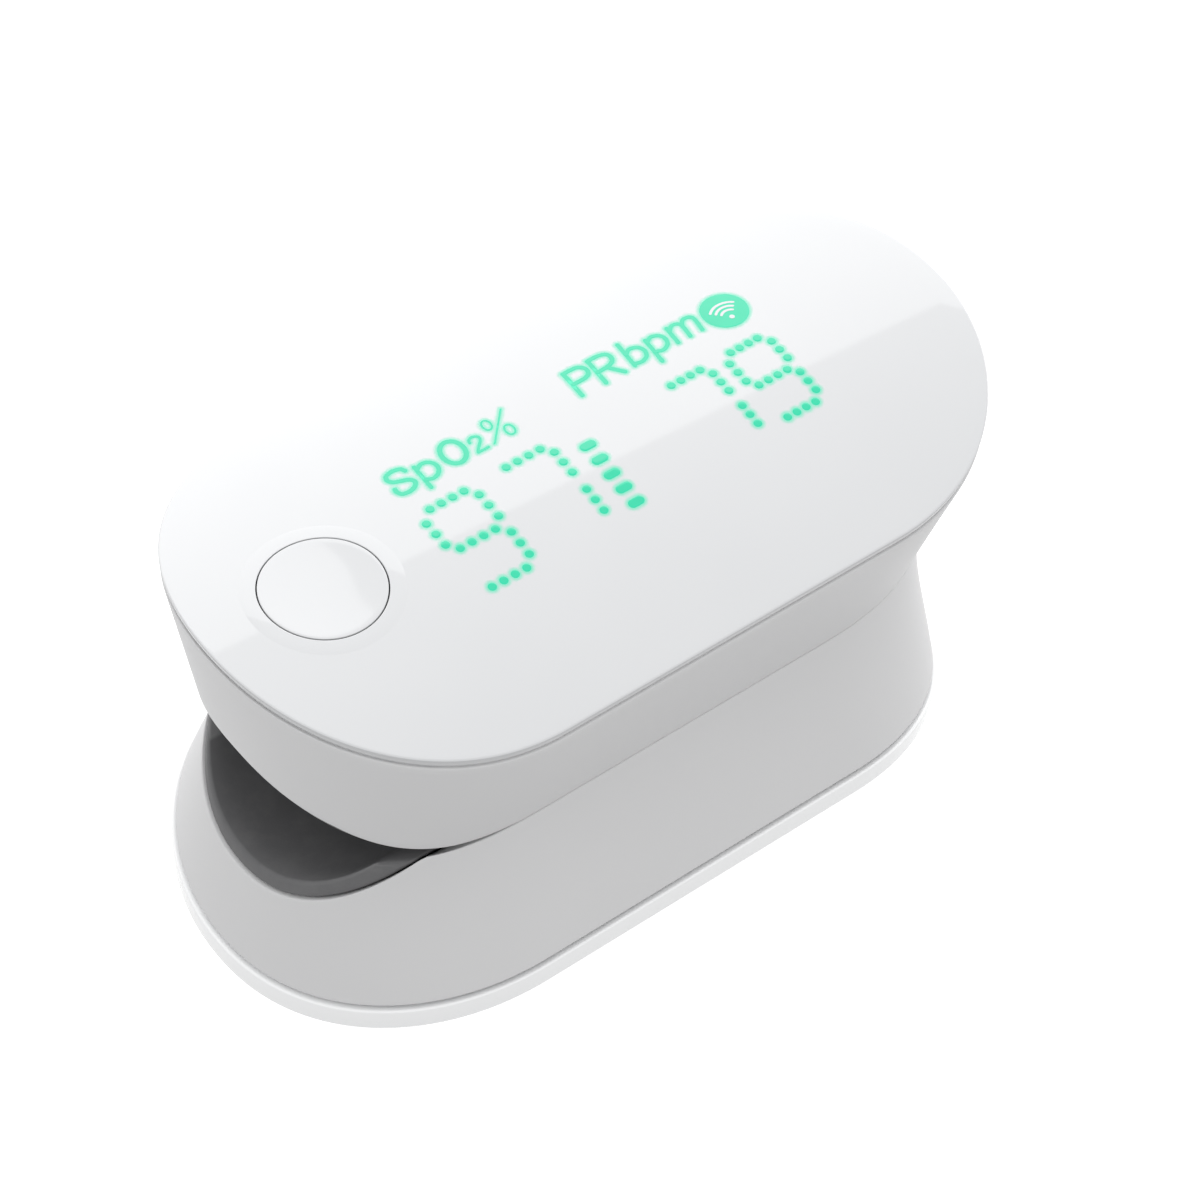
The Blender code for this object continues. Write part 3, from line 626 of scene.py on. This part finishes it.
def notchRise(x):
    return form["seam"] + np.maximum(x - channel["hingeX"], 0) * math.tan(math.radians(channel["notchTurn"]))


def upperFoot(point):
    x, y = point[:, 0], point[:, 1]
    raised = form["archLift"] * np.clip((form["archEdge"] - np.abs(y)) / form["archFade"], 0, 1)
    arch = raised + channel["upperCentre"] + np.sqrt(np.maximum(channel["upperRadius"] ** 2 - y**2, 0))
    # the arch dies away along the straight sides
    arch -= form["archTailDrop"] * np.clip((x + form["archTail"]) / form["archTailRun"], 0, 1)
    return np.maximum(form["waistHeight"] + notchRise(x), np.where(x < 0, arch, 0))


def lowerTop(point):
    x, y = point[:, 0], point[:, 1]
    inside = np.maximum(channel["lowerRadius"] ** 2 - y**2, 0)
    trough = np.where(inside > 0, channel["lowerCentre"] - np.sqrt(inside), 99.0)
    return np.minimum(form["waistHeight"] - notchRise(x), np.where(x < 0, trough, 99.0))


def trimmed(wallAt, keeps, count):
    # for each place round the wall, the share at which the finger channel or the notch cuts it
    low, high = np.zeros(count), np.full(count, 0.95)
    for step in range(40):
        middle = (low + high) / 2
        kept = keeps(wallAt(middle))
        high = np.where(kept, middle, high)
        low = np.where(kept, low, middle)
    return high


def upperWall(inset, rings, drop=None):
    low = np.column_stack([waistOval(inset), np.full(len(waistOval(0)), form["waistHeight"])])
    high = topRing(form["upperInset"] + inset, form["shellDrop"] if drop is None else drop)

    def wallAt(share):
        return low + (high - low) * np.reshape(share, (-1, 1))

    foot = trimmed(wallAt, lambda point: point[:, 2] >= upperFoot(point), len(low))
    return [wallAt(foot + (1 - foot) * share) for share in np.linspace(0, 1, rings)]


def lowerWall(inset, rings):
    high = np.column_stack([waistOval(inset), np.full(len(waistOval(0)), form["waistHeight"])])
    low = baseRing(form["shellInset"] + inset, form["rimHeight"] + form["gap"])

    def wallAt(down):
        down = np.reshape(down, (-1, 1))
        out = down - form["waistHollow"] * np.sin(math.pi * down) * (1 - down)
        return high + (low - high) * np.hstack([out, out, down])

    top = trimmed(wallAt, lambda point: point[:, 2] <= lowerTop(point), len(high))
    return [wallAt(top + (1 - top) * share**1.25) for share in np.linspace(0, 1, rings)]


def shell(name, outer, inner):
    rings = outer + inner[::-1]
    piece = pullRings(name, rings + [rings[0]])
    roundEdges(piece, shellValues["edgeRound"], 3, 38)
    return piece


upperShell = shell("shellUpper", upperWall(0.0, shellValues["upperRings"]), upperWall(form["wall"], 8))
smooth(upperShell)
dress(upperShell, satin, "upper_jaw", "satin_shell", "upper_shell")

portValues = {"x": 30.0, "halfWidth": 5.0, "low": 10.6, "high": 14.6, "corner": 1.5}
lowerShell = shell("shellLower", lowerWall(0.0, shellValues["lowerRings"]), lowerWall(form["wall"], 10))
bpy.ops.object.select_all(action="DESELECT")
portSize = (10 * mm, 2 * portValues["halfWidth"] * mm, (portValues["high"] - portValues["low"]) * mm)
portPlace = (portValues["x"] * mm, 0, (portValues["low"] + portValues["high"]) / 2 * mm)
bpy.ops.mesh.primitive_cube_add(size=1, location=portPlace, scale=portSize)
port = named("portCutter")
settle(port)
inEditMode(port, lambda: bpy.ops.mesh.bevel(offset=portValues["corner"] * mm, segments=6))
cutWith(lowerShell, port)
smooth(lowerShell)
dress(lowerShell, satin, "root", "satin_shell", "lower_shell")
print("shells made")


# base cover
baseValues = {
    "footRound": 0.55, "topRound": 0.22, "lip": 0.8, "land": -0.3, "floor": 1.6,
    "posts": ((15.5, -9.6, 14.7), (15.5, 9.6, 14.7), (-21.0, 0.0, 7.6)),
}


def baseSkin(values):
    plug = form["wall"] + form["shellInset"] + 2 * form["gap"]
    rim = form["rimHeight"]
    outer = insetOval(0)
    rings = [onBase(outer * 0.0, values["land"])]
    for share in np.linspace(0.04, 0.94, 20):
        rings.append(onBase(outer * share, values["land"]))
    foot = values["footRound"]
    for angle in np.linspace(0, math.pi / 2, 8):
        rise = values["land"] + foot * (1 - math.cos(angle))
        rings.append(baseRing(foot * (1 - math.sin(angle)), rise))
    top = values["topRound"]
    for angle in np.linspace(0, math.pi / 2, 6):
        rings.append(baseRing(top * (1 - math.cos(angle)), rim - top * (1 - math.sin(angle))))
    rings += [baseRing(plug, rim), baseRing(plug, rim + values["lip"])]
    within = plug + form["wall"]
    rings += [baseRing(within, rim + values["lip"]), baseRing(within, values["floor"])]
    inner = insetOval(within)
    for share in np.linspace(0.9, 0.05, 12):
        rings.append(onBase(inner * share, values["floor"]))
    rings.append(onBase(inner * 0.0, values["floor"]))
    return rings


baseCover = pullRings("coverBase", baseSkin(baseValues))
posts = []
for at, (x, y, top) in enumerate(baseValues["posts"]):
    wall = [(0.95, top - 4.0), (0.95, top - 0.25), (1.05, top - 0.2), (1.55, top - 0.2)]
    wall += [(1.6, top - 0.3), (1.75, baseValues["floor"]), (0.0, baseValues["floor"])]
    posts.append(turnedPiece(f"post{at}", [(0.0, top - 4.0)] + wall, x, y, 32))
baseCover = join("coverBase", [baseCover] + posts)
smooth(baseCover, 40)
dress(baseCover, baseGloss, "root", "gloss_cover", "base_cover")
print("base cover made")


# finger pads
padValues = {
    "rows": 60, "columns": 24, "edgeRound": 0.32, "windowX": -8.0, "windowRadius": 3.0,
    "upperSetback": 0.8, "upperSwell": 0.24, "upperHole": 21.0, "lowerHole": 10.0,
}


def frontEdge(wall, y, height):
    # where a wall's rings, cut by a level plane, cross y at the mouth end
    wall = np.array(wall)
    half = len(wall[0]) // 2
    front = wall[:, half:, :]  # the mouth end of every ring
    best = np.full(np.shape(y), -28.0)
    for at in range(len(y)):
        share = np.clip((height[at] - front[0, :, 2]) / (front[-1, :, 2] - front[0, :, 2]), 0, 1)
        index = share * (len(wall) - 1)
        low = np.floor(index).astype(int).clip(0, len(wall) - 2)
        part = (index - low)[:, None]
        columns = np.arange(half)
        line = front[low, columns] * (1 - part) + front[low + 1, columns] * part
        line = line[line[:, 0] < -10]
        order = np.argsort(line[:, 1])
        best[at] = np.interp(y[at], line[order, 1], line[order, 0])
    return best


def wholeWall(upper, inset):
    base = np.column_stack([waistOval(inset), np.full(len(waistOval(0)), form["waistHeight"])])
    rings = []
    for share in np.linspace(0, 1, 16):
        if upper:
            rings.append(base + (topRing(form["upperInset"] + inset, form["shellDrop"]) - base) * share)
        else:
            low = baseRing(form["shellInset"] + inset, form["rimHeight"] + form["gap"])
            out = share - form["waistHollow"] * math.sin(math.pi * share) * (1 - share)
            rings.append(base + (low - base) * np.array([out, out, share]))
    return rings


def padSkin(upper):
    setback = padValues["upperSetback"] if upper else channel["padSetback"]
    radius = (channel["upperRadius"] if upper else channel["lowerRadius"]) - channel["padGap"]
    centre = channel["upperCentre"] if upper else channel["lowerCentre"]
    side = 1 if upper else -1
    cut = form["waistHeight"] + side * 2 * form["gap"]
    wall = wholeWall(upper, setback)
    rows = []
    inner = radius - channel["padThickness"]
    outer = radius + (padValues["upperSwell"] if upper else 0)
    for radiusNow in (inner, outer):
        widest = math.acos(abs(cut - centre) / radiusNow)
        turn = np.linspace(-widest, widest, padValues["rows"])
        y, height = radiusNow * np.sin(turn), centre + side * radiusNow * np.cos(turn)
        rows.append((frontEdge(wall, y, height), y, height))
    strips = []
    rear = channel["end"] - form["gap"]
    for at in range(padValues["rows"]):
        loop = []
        for (start, y, height), order in ((rows[0], 1), (rows[1], -1)):
            shares = np.linspace(0, 1, padValues["columns"])[::order]
            loop += [(start[at] + (rear - start[at]) * share, y[at], height[at]) for share in shares]
        strips.append(np.array(loop))
    return strips


def pad(name, upper):
    piece = pullRings(name, padSkin(upper))
    inEditMode(piece, closeEnds)
    roundEdges(piece, padValues["edgeRound"], 4, 40)
    bpy.ops.object.select_all(action="DESELECT")
    height = padValues["upperHole"] if upper else padValues["lowerHole"]
    place = (padValues["windowX"] * mm, 0, height * mm)
    bpy.ops.mesh.primitive_cylinder_add(
        vertices=64, radius=padValues["windowRadius"] * mm, depth=8 * mm, location=place,
    )
    hole = named("padHole")
    settle(hole)
    cutWith(piece, hole)
    smooth(piece, 40)
    return piece


lowerPad = dress(pad("padLower", False), silicone, "root", "silicone", "lower_pad")
upperPad = dress(pad("padUpper", True), silicone, "upper_jaw", "silicone", "upper_pad")
print("finger pads made")


# lit display
displayValues = {"dotRadius": 0.31, "film": 0.012, "spillReach": 0.40, "spillGrid": 0.12, "labelRise": 0.02}
dotRuns = [
    (-12.00, 1.45, -9.17, 1.45, 4), (-12.98, 0.52, -13.02, -1.68, 3), (-8.53, 0.59, -8.60, -1.66, 3),
    (-12.37, -2.45, -9.45, -2.45, 4), (-8.70, -3.23, -8.80, -5.34, 3), (-12.48, -6.15, -9.62, -6.15, 4),
    (-5.55, 1.52, -2.67, 1.52, 4), (-2.05, 0.73, -2.15, -1.40, 3), (-2.25, -3.12, -2.35, -5.17, 3),
    (8.37, 1.00, 10.92, 1.00, 4), (11.44, 0.22, 11.36, -1.65, 3), (11.28, -3.22, 11.20, -5.03, 3),
    (13.74, 1.08, 16.16, 1.08, 4), (12.99, 0.26, 12.91, -1.65, 3), (16.79, 0.28, 16.71, -1.58, 3),
    (13.43, -2.42, 15.99, -2.42, 4), (16.61, -3.08, 16.53, -4.91, 3), (13.32, -5.71, 15.84, -5.71, 4),
]
barPlaces = [(0.20, -0.11), (0.11, -1.55), (0.01, -3.01), (-0.04, -4.40), (-0.07, -5.80)]
barSize = (1.25, 0.70)


def layOnCrown(piece, rise):
    # every point keeps its x and y and takes the crown's height under it
    place = np.array([vertex.co for vertex in piece.data.vertices])
    place[:, 2] += (form["crest"] - lift(place[:, 1] / mm) + rise) * mm
    piece.data.vertices.foreach_set("co", place.astype(np.float32).ravel())
    piece.data.update()


def lensDot(x, y, radiusX, radiusY, count=20):
    # a low rounded dot, or a bar when the two radii differ
    rings = []
    stretch = max(radiusX - radiusY, 0)
    for radius, height in ((0.0, 1.0), (0.55, 1.0), (0.9, 0.85), (1.0, 0.3), (1.0, -1.0), (0.0, -1.0)):
        flat = disc(radius * radiusY, height * displayValues["film"], count)
        flat[:, 0] += np.sign(np.round(flat[:, 0], 6)) * stretch * (1 if radius else 0)
        flat[:, 0] += x
        flat[:, 1] += y
        rings.append(flat)
    return pullRings("dot", rings)


dotPlaces = []
for startX, startY, endX, endY, count in dotRuns:
    for share in np.linspace(0, 1, count):
        dotPlaces.append((startX + (endX - startX) * share, startY + (endY - startY) * share))
radius = displayValues["dotRadius"]
firstDot = lensDot(0, 0, radius, radius)
dots = []
for x, y in dotPlaces:
    copy = firstDot.copy()
    copy.data = firstDot.data.copy()
    bpy.context.scene.collection.objects.link(copy)
    copy.location = (x * mm, y * mm, 0)
    settle(copy)
    dots.append(copy)
bpy.data.objects.remove(firstDot)
digits = join("litDigits", dots)
layOnCrown(digits, displayValues["film"] * 1.5)
smooth(digits, 40)
bars = join("litBars", [lensDot(x, y, barSize[0] / 2, barSize[1] / 2, 24) for x, y in barPlaces])
layOnCrown(bars, displayValues["film"] * 1.5)
smooth(bars, 40)

# each letter is one or more strokes: its width, then the points it runs through, in millimetres on the cover
labelStrokes = [
    (0.33, [(-11.18, 5.40), (-11.35, 5.75), (-11.95, 5.90), (-12.50, 5.75), (-12.68, 5.35),
            (-12.45, 4.98), (-12.00, 4.78),
            (-11.45, 4.52), (-11.28, 4.12), (-11.60, 3.74), (-12.12, 3.60), (-12.65, 3.72),
            (-12.83, 4.12), (-12.78, 4.35)]),
    (0.31, [(-10.50, 5.30), (-10.72, 3.05)]),
    (0.31, [(-10.52, 4.95), (-10.02, 5.25), (-9.50, 5.15), (-9.20, 4.70), (-9.26, 4.18), (-9.62, 3.78),
            (-10.12, 3.66), (-10.58, 3.86)]),
    (0.20, [(-6.12, 4.88), (-5.98, 5.16), (-5.62, 5.26), (-5.32, 5.05), (-5.36, 4.70), (-5.70, 4.34),
            (-6.05, 4.00), (-6.20, 3.78)]),
    (0.20, [(-6.20, 3.78), (-5.34, 3.78)]),
    (0.13, [(-4.80, 3.80), (-2.42, 6.28)]),
    (0.33, [(3.13, 6.47), (2.83, 3.91)]),
    (0.33, [(3.10, 6.45), (3.80, 6.47), (4.38, 6.36), (4.68, 5.93), (4.54, 5.42), (4.02, 5.18),
            (3.02, 5.16)]),
    (0.33, [(5.27, 6.47), (4.92, 3.91)]),
    (0.33, [(5.24, 6.45), (6.12, 6.45), (6.66, 6.26), (6.82, 5.84), (6.58, 5.36), (5.95, 5.13),
            (5.10, 5.11)]),
    (0.33, [(5.93, 5.10), (6.66, 3.98)]),
    (0.31, [(7.97, 6.50), (7.58, 4.05)]),
    (0.31, [(7.80, 5.30), (8.30, 5.62), (8.88, 5.42), (9.08, 4.88), (8.80, 4.30), (8.22, 4.07),
            (7.66, 4.22)]),
    (0.31, [(9.76, 5.66), (9.38, 3.25)]),
    (0.31, [(9.72, 5.36), (10.25, 5.68), (10.80, 5.46), (10.99, 4.94), (10.72, 4.36), (10.15, 4.10),
            (9.58, 4.30)]),
    (0.30, [(11.72, 5.70), (11.44, 4.05)]),
    (0.30, [(11.68, 5.28), (12.12, 5.68), (12.58, 5.62), (12.76, 5.26), (12.54, 4.05)]),
    (0.30, [(12.76, 5.24), (13.18, 5.70), (13.70, 5.66), (13.88, 5.28), (13.62, 4.05)]),
]
labelRounds = [
    (-7.55, 4.86, 0.86, 1.12, 0.36), (-4.15, 5.58, 0.33, 0.50, 0.13), (-3.15, 4.28, 0.34, 0.50, 0.13),
]
lean = 0.09


def smoothRun(points, parts=6):
    # a soft curve through the points of a stroke
    points = np.array(points, float)
    if len(points) < 3:
        return points
    ends = np.vstack([2 * points[0] - points[1], points, 2 * points[-1] - points[-2]])
    made = []
    for a, b, c, d in zip(ends, ends[1:], ends[2:], ends[3:]):
        for share in np.linspace(0, 1, parts, endpoint=False):
            bow, twist = 2 * a - 5 * b + 4 * c - d, 3 * b - a - 3 * c + d
            made.append(0.5 * (2 * b + (c - a) * share + bow * share**2 + twist * share**3))
    return np.vstack(made + [points[-1]])


def stroke(points, wide, rise=0.0, thick=0.012):
    # a flat ribbon of even width with round ends
    run = smoothRun(points)
    ahead = np.gradient(run, axis=0)
    ahead /= np.linalg.norm(ahead, axis=1)[:, None]
    side = np.column_stack([-ahead[:, 1], ahead[:, 0]]) * wide / 2
    cap = np.radians(np.linspace(0, 180, 9))[1:-1]

    def end(centre, out, turn):
        return [centre + (turn * math.cos(angle) + out * math.sin(angle)) * wide / 2 for angle in cap]

    last = end(run[-1], ahead[-1], side[-1] / wide * 2)
    first = end(run[0], -ahead[0], -side[0] / wide * 2)
    loop = np.vstack([run + side, last, (run - side)[::-1], first])[::-1]
    rings = [np.column_stack([loop, np.full(len(loop), height)]) for height in (rise - thick, rise)]
    piece = pullRings("stroke", rings)
    inEditMode(piece, closeEnds)
    return piece


def ringStroke(x, y, radiusX, radiusY, wide, rise=0.0, thick=0.012, count=48):
    # a flat oval ring that leans as the letters do
    rings = []
    for out, height in ((-1, -1), (1, -1), (1, 0), (-1, 0), (-1, -1)):
        flat = disc(1.0, rise + height * thick, count)
        flat[:, 0] = x + flat[:, 0] * (radiusX + out * wide / 2) + flat[:, 1] * radiusY * lean
        flat[:, 1] = y + flat[:, 1] * (radiusY + out * wide / 2)
        rings.append(flat)
    return pullRings("ringStroke", rings)


letters = [stroke(points, wide, 0.0005 * at) for at, (wide, points) in enumerate(labelStrokes)]
words = join("litLabels", letters + [ringStroke(*values) for values in labelRounds])
layOnCrown(words, displayValues["labelRise"])

# a lit disc with three arcs over a spot left white in it, a common sign for a radio link
badgeValues = {
    "x": 16.1, "y": 4.65, "radius": 1.75, "drop": 0.85,
    "arcs": (0.55, 0.95, 1.35), "arcWidth": 0.2, "arcSpread": 42,
}
badgeDisc = lensDot(badgeValues["x"], badgeValues["y"], badgeValues["radius"], badgeValues["radius"], 64)
badgeDisc.name = badgeDisc.data.name = "litBadge"
layOnCrown(badgeDisc, displayValues["film"] * 1.5)
smooth(badgeDisc, 40)

strokes = []
baseY = badgeValues["y"] - badgeValues["drop"]
for arc in badgeValues["arcs"]:
    turn = np.radians(np.linspace(90 + badgeValues["arcSpread"], 90 - badgeValues["arcSpread"], 9))
    reach = arc + badgeValues["arcWidth"]
    run = [(badgeValues["x"] + reach * math.cos(angle), baseY + reach * math.sin(angle)) for angle in turn]
    strokes.append(stroke(run, badgeValues["arcWidth"]))
strokes.append(lensDot(badgeValues["x"], baseY, 0.2, 0.2, 20))
sign = join("badgeSign", strokes)
layOnCrown(sign, displayValues["film"] * 2 + 0.022)

# the spill film: a fine sheet over the lit area, kept only where light reaches
spill = {"x0": -14.2, "x1": 19.2, "y0": -7.3, "y1": 7.6}
columns = int((spill["x1"] - spill["x0"]) / displayValues["spillGrid"])
rows = int((spill["y1"] - spill["y0"]) / displayValues["spillGrid"])
bpy.ops.object.select_all(action="DESELECT")
bpy.ops.mesh.primitive_grid_add(x_subdivisions=columns, y_subdivisions=rows, size=1)
film = named("litSpill")
place = np.array([vertex.co for vertex in film.data.vertices])
place[:, 0] = spill["x0"] + (place[:, 0] + 0.5) * (spill["x1"] - spill["x0"])
place[:, 1] = spill["y0"] + (place[:, 1] + 0.5) * (spill["y1"] - spill["y0"])
sources = [(np.array(dotPlaces), displayValues["dotRadius"])]
for x, y in barPlaces:
    across = np.linspace(-(barSize[0] - barSize[1]) / 2, (barSize[0] - barSize[1]) / 2, 5)
    sources.append((np.column_stack([x + across, np.full(5, y)]), barSize[1] / 2))
for wide, points in labelStrokes:
    run = smoothRun(points, 5) if len(points) > 2 else np.linspace(*points, 16)
    sources.append((run, wide / 2))
for x, y, radiusX, radiusY, wide in labelRounds:
    ring = disc(1.0, 0, 30)
    across = x + ring[:, 0] * radiusX + ring[:, 1] * radiusY * lean
    sources.append((np.column_stack([across, y + ring[:, 1] * radiusY]), wide / 2))
sources.append((np.array([[badgeValues["x"], badgeValues["y"]]]), badgeValues["radius"]))
away = np.full(len(place), 9.0)
for points, size in sources:
    for point in points:
        away = np.minimum(away, np.hypot(place[:, 0] - point[0], place[:, 1] - point[1]) - size)
amount = np.clip(1 - away / displayValues["spillReach"], 0, 1)
amount = amount**1.7 * 0.62
flat = np.column_stack([place[:, :2], np.zeros(len(place))]) * mm
film.data.vertices.foreach_set("co", flat.astype(np.float32).ravel())
film.data.attributes.new("spill", "FLOAT", "POINT").data.foreach_set("value", amount.astype(np.float32))
layOnCrown(film, 0.006)
pickOnly(film)
bpy.ops.object.mode_set(mode="EDIT")
bpy.ops.mesh.select_mode(type="VERT")
bpy.ops.mesh.select_all(action="DESELECT")
bpy.ops.object.mode_set(mode="OBJECT")
film.data.vertices.foreach_set("select", amount < 0.01)
bpy.ops.object.mode_set(mode="EDIT")
bpy.ops.mesh.delete(type="VERT")
bpy.ops.object.mode_set(mode="OBJECT")
film.data.shade_smooth()

ink = glowInk("glowInk", look["ink"], 1.0)
for piece in (digits, bars, words, badgeDisc):
    dress(piece, ink, "upper_jaw", "display_glow")
dress(film, glowHaze(), "upper_jaw", "display_glow")
dress(sign, gloss, "upper_jaw", "display_glow")
print("display lit")


# springs and ribbon: they run from one jaw to the other across the hinge; each is copied from its CAD piece,
# given its finish and set in place
finishOf = {row["node"]: row["material_slot"] for row in frame["record"]["subparts"]}
crossing = {
    "left_spring": ("springLeft", (21.0, 0, 14.9), (21.0, 0, 19.3)),
    "right_spring": ("springRight", (21.0, 0, 14.9), (21.0, 0, 19.3)),
    "flex_cable": ("ribbonCable", (15.6, 0, 12.5), (15.6, 0, 22.0)),
}
for name, (title, start, end) in crossing.items():
    piece = bpy.data.objects.new(title, nodes[name].data.copy())
    piece.matrix_world = nodes[name].matrix_world.copy()
    piece.data.materials.clear()
    piece.data.materials.append(slotFinish[finishOf[name]])
    bpy.context.scene.collection.objects.link(piece)
    smooth(piece, 50)
    start, end = (tuple(part * mm for part in point) for point in (start, end))
    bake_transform(piece)
    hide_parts(name)
print("springs and ribbon made")


# finishes for the parts that stay as they are
for name, node in nodes.items():
    if node.hide_render:
        continue
    finish = slotFinish.get(finishOf.get(name, ""), slotFinish["frame_plastic"])
    node.data.materials.clear()
    node.data.materials.append(finish)
print("inner parts finished")


# floor, light and camera
studio = {
    "skyTop": 1.15, "skyLevel": 1.16, "skyLow": 0.66, "skyUnder": 0.55,
    "floor": (0.5, 0.5, 0.5), "floorGlow": 0.7,
    "panelPower": 5.2, "panelAway": 0.5, "panelWide": 1.7, "panelHigh": 0.64, "panelTilt": 12.0,
}
bpy.ops.object.select_all(action="DESELECT")
bpy.ops.mesh.primitive_plane_add(size=6, location=(0, 0, -0.05 * mm))
floor = named("floor")
settle(floor)
floorFinish = Finish("paleFloor", Roughness=0.9, Specular_IOR_Level=0.0)
floorFinish.give("Emission Strength", studio["floorGlow"])
cloud = floorFinish.noise(300.0, 2.0, 0.5)
paler = tuple(part * 1.02 for part in studio["floor"])
floorFinish.give("Base Color", floorFinish.mix(cloud, studio["floor"], paler))
floorFinish.give("Emission Color", (1.0, 1.0, 1.0, 1.0))
floor.data.materials.append(floorFinish.made)

world = bpy.data.worlds.new("studioWorld")
bpy.context.scene.world = world
world.use_nodes = True
sky = world.node_tree
where = sky.nodes.new("ShaderNodeTexCoord")
split = sky.nodes.new("ShaderNodeSeparateXYZ")
sky.links.new(where.outputs["Generated"], split.inputs[0])
height = Link(sky, split.outputs[2])
ramp = sky.nodes.new("ShaderNodeValToRGB")
stops = ((0.0, "skyUnder"), (0.45, "skyLow"), (0.55, "skyLevel"), (1.0, "skyTop"))
rampStops(ramp.color_ramp, [(position, (studio[key] / 2,) * 3) for position, key in stops])
feed(sky, ramp.inputs[0], height * 0.5 + 0.5)
sky.links.new(ramp.outputs[0], sky.nodes["Background"].inputs[0])
sky.nodes["Background"].inputs[1].default_value = 2.0
floor.visible_diffuse = False


def areaLight(name, place, aim, wide, high, power, roll=0.0):
    lamp = bpy.data.lights.new(name, "AREA")
    lamp.shape = "RECTANGLE"
    lamp.size, lamp.size_y = wide, high
    lamp.energy = power
    light = bpy.data.objects.new(name, lamp)
    bpy.context.scene.collection.objects.link(light)
    back = (Vector(place) - Vector(aim)).normalized()
    right = Vector((0, 0, 1)).cross(back).normalized()
    up = back.cross(right)
    turned = Matrix((right, up, back)).transposed().to_4x4() @ Matrix.Rotation(math.radians(roll), 4, "Z")
    light.matrix_world = Matrix.Translation(place) @ turned
    return light


# a tall soft panel stands behind the hinge side; its upper edge is the straight line seen in the cover
away = Vector((0.6, 0.8, 0.0))
sideways = Vector((-0.8, 0.6, 0.0))
tilt = math.radians(studio["panelTilt"])
topMiddle = away * studio["panelAway"] + sideways * -0.085 + Vector((0, 0, 0.638))
down = Vector((0, 0, -1)) * math.cos(tilt) + sideways * -math.sin(tilt)
middle = topMiddle + down * studio["panelHigh"] / 2
panelSize = (studio["panelWide"], studio["panelHigh"])
areaLight("softPanel", middle, middle - away, *panelSize, studio["panelPower"], studio["panelTilt"])

cameraValues = {
    "turn": -41.73, "rise": 49.86, "roll": 4.9,
    "distance": 280.9, "target": (3.59, 1.12, 14.7), "lens": 116.17,
}
turn, rise, roll = (math.radians(cameraValues[key]) for key in ("turn", "rise", "roll"))
back = Vector((math.sin(turn) * math.cos(rise), -math.cos(turn) * math.cos(rise), math.sin(rise)))
level = Vector((math.cos(turn), math.sin(turn), 0))
upright = back.cross(level)
right = level * math.cos(roll) + upright * math.sin(roll)
up = upright * math.cos(roll) - level * math.sin(roll)
lens = bpy.data.cameras.new("camera")
lens.sensor_width = 36.0
lens.lens = cameraValues["lens"]
lens.clip_start, lens.clip_end = 0.01, 20.0
camera = bpy.data.objects.new("camera", lens)
bpy.context.scene.collection.objects.link(camera)
place = (Vector(cameraValues["target"]) + back * cameraValues["distance"]) * mm
camera.matrix_world = Matrix.Translation(place) @ Matrix((right, up, back)).transposed().to_4x4()
bpy.context.scene.camera = camera
bpy.context.scene.view_settings.view_transform = "Standard"
print("studio ready")
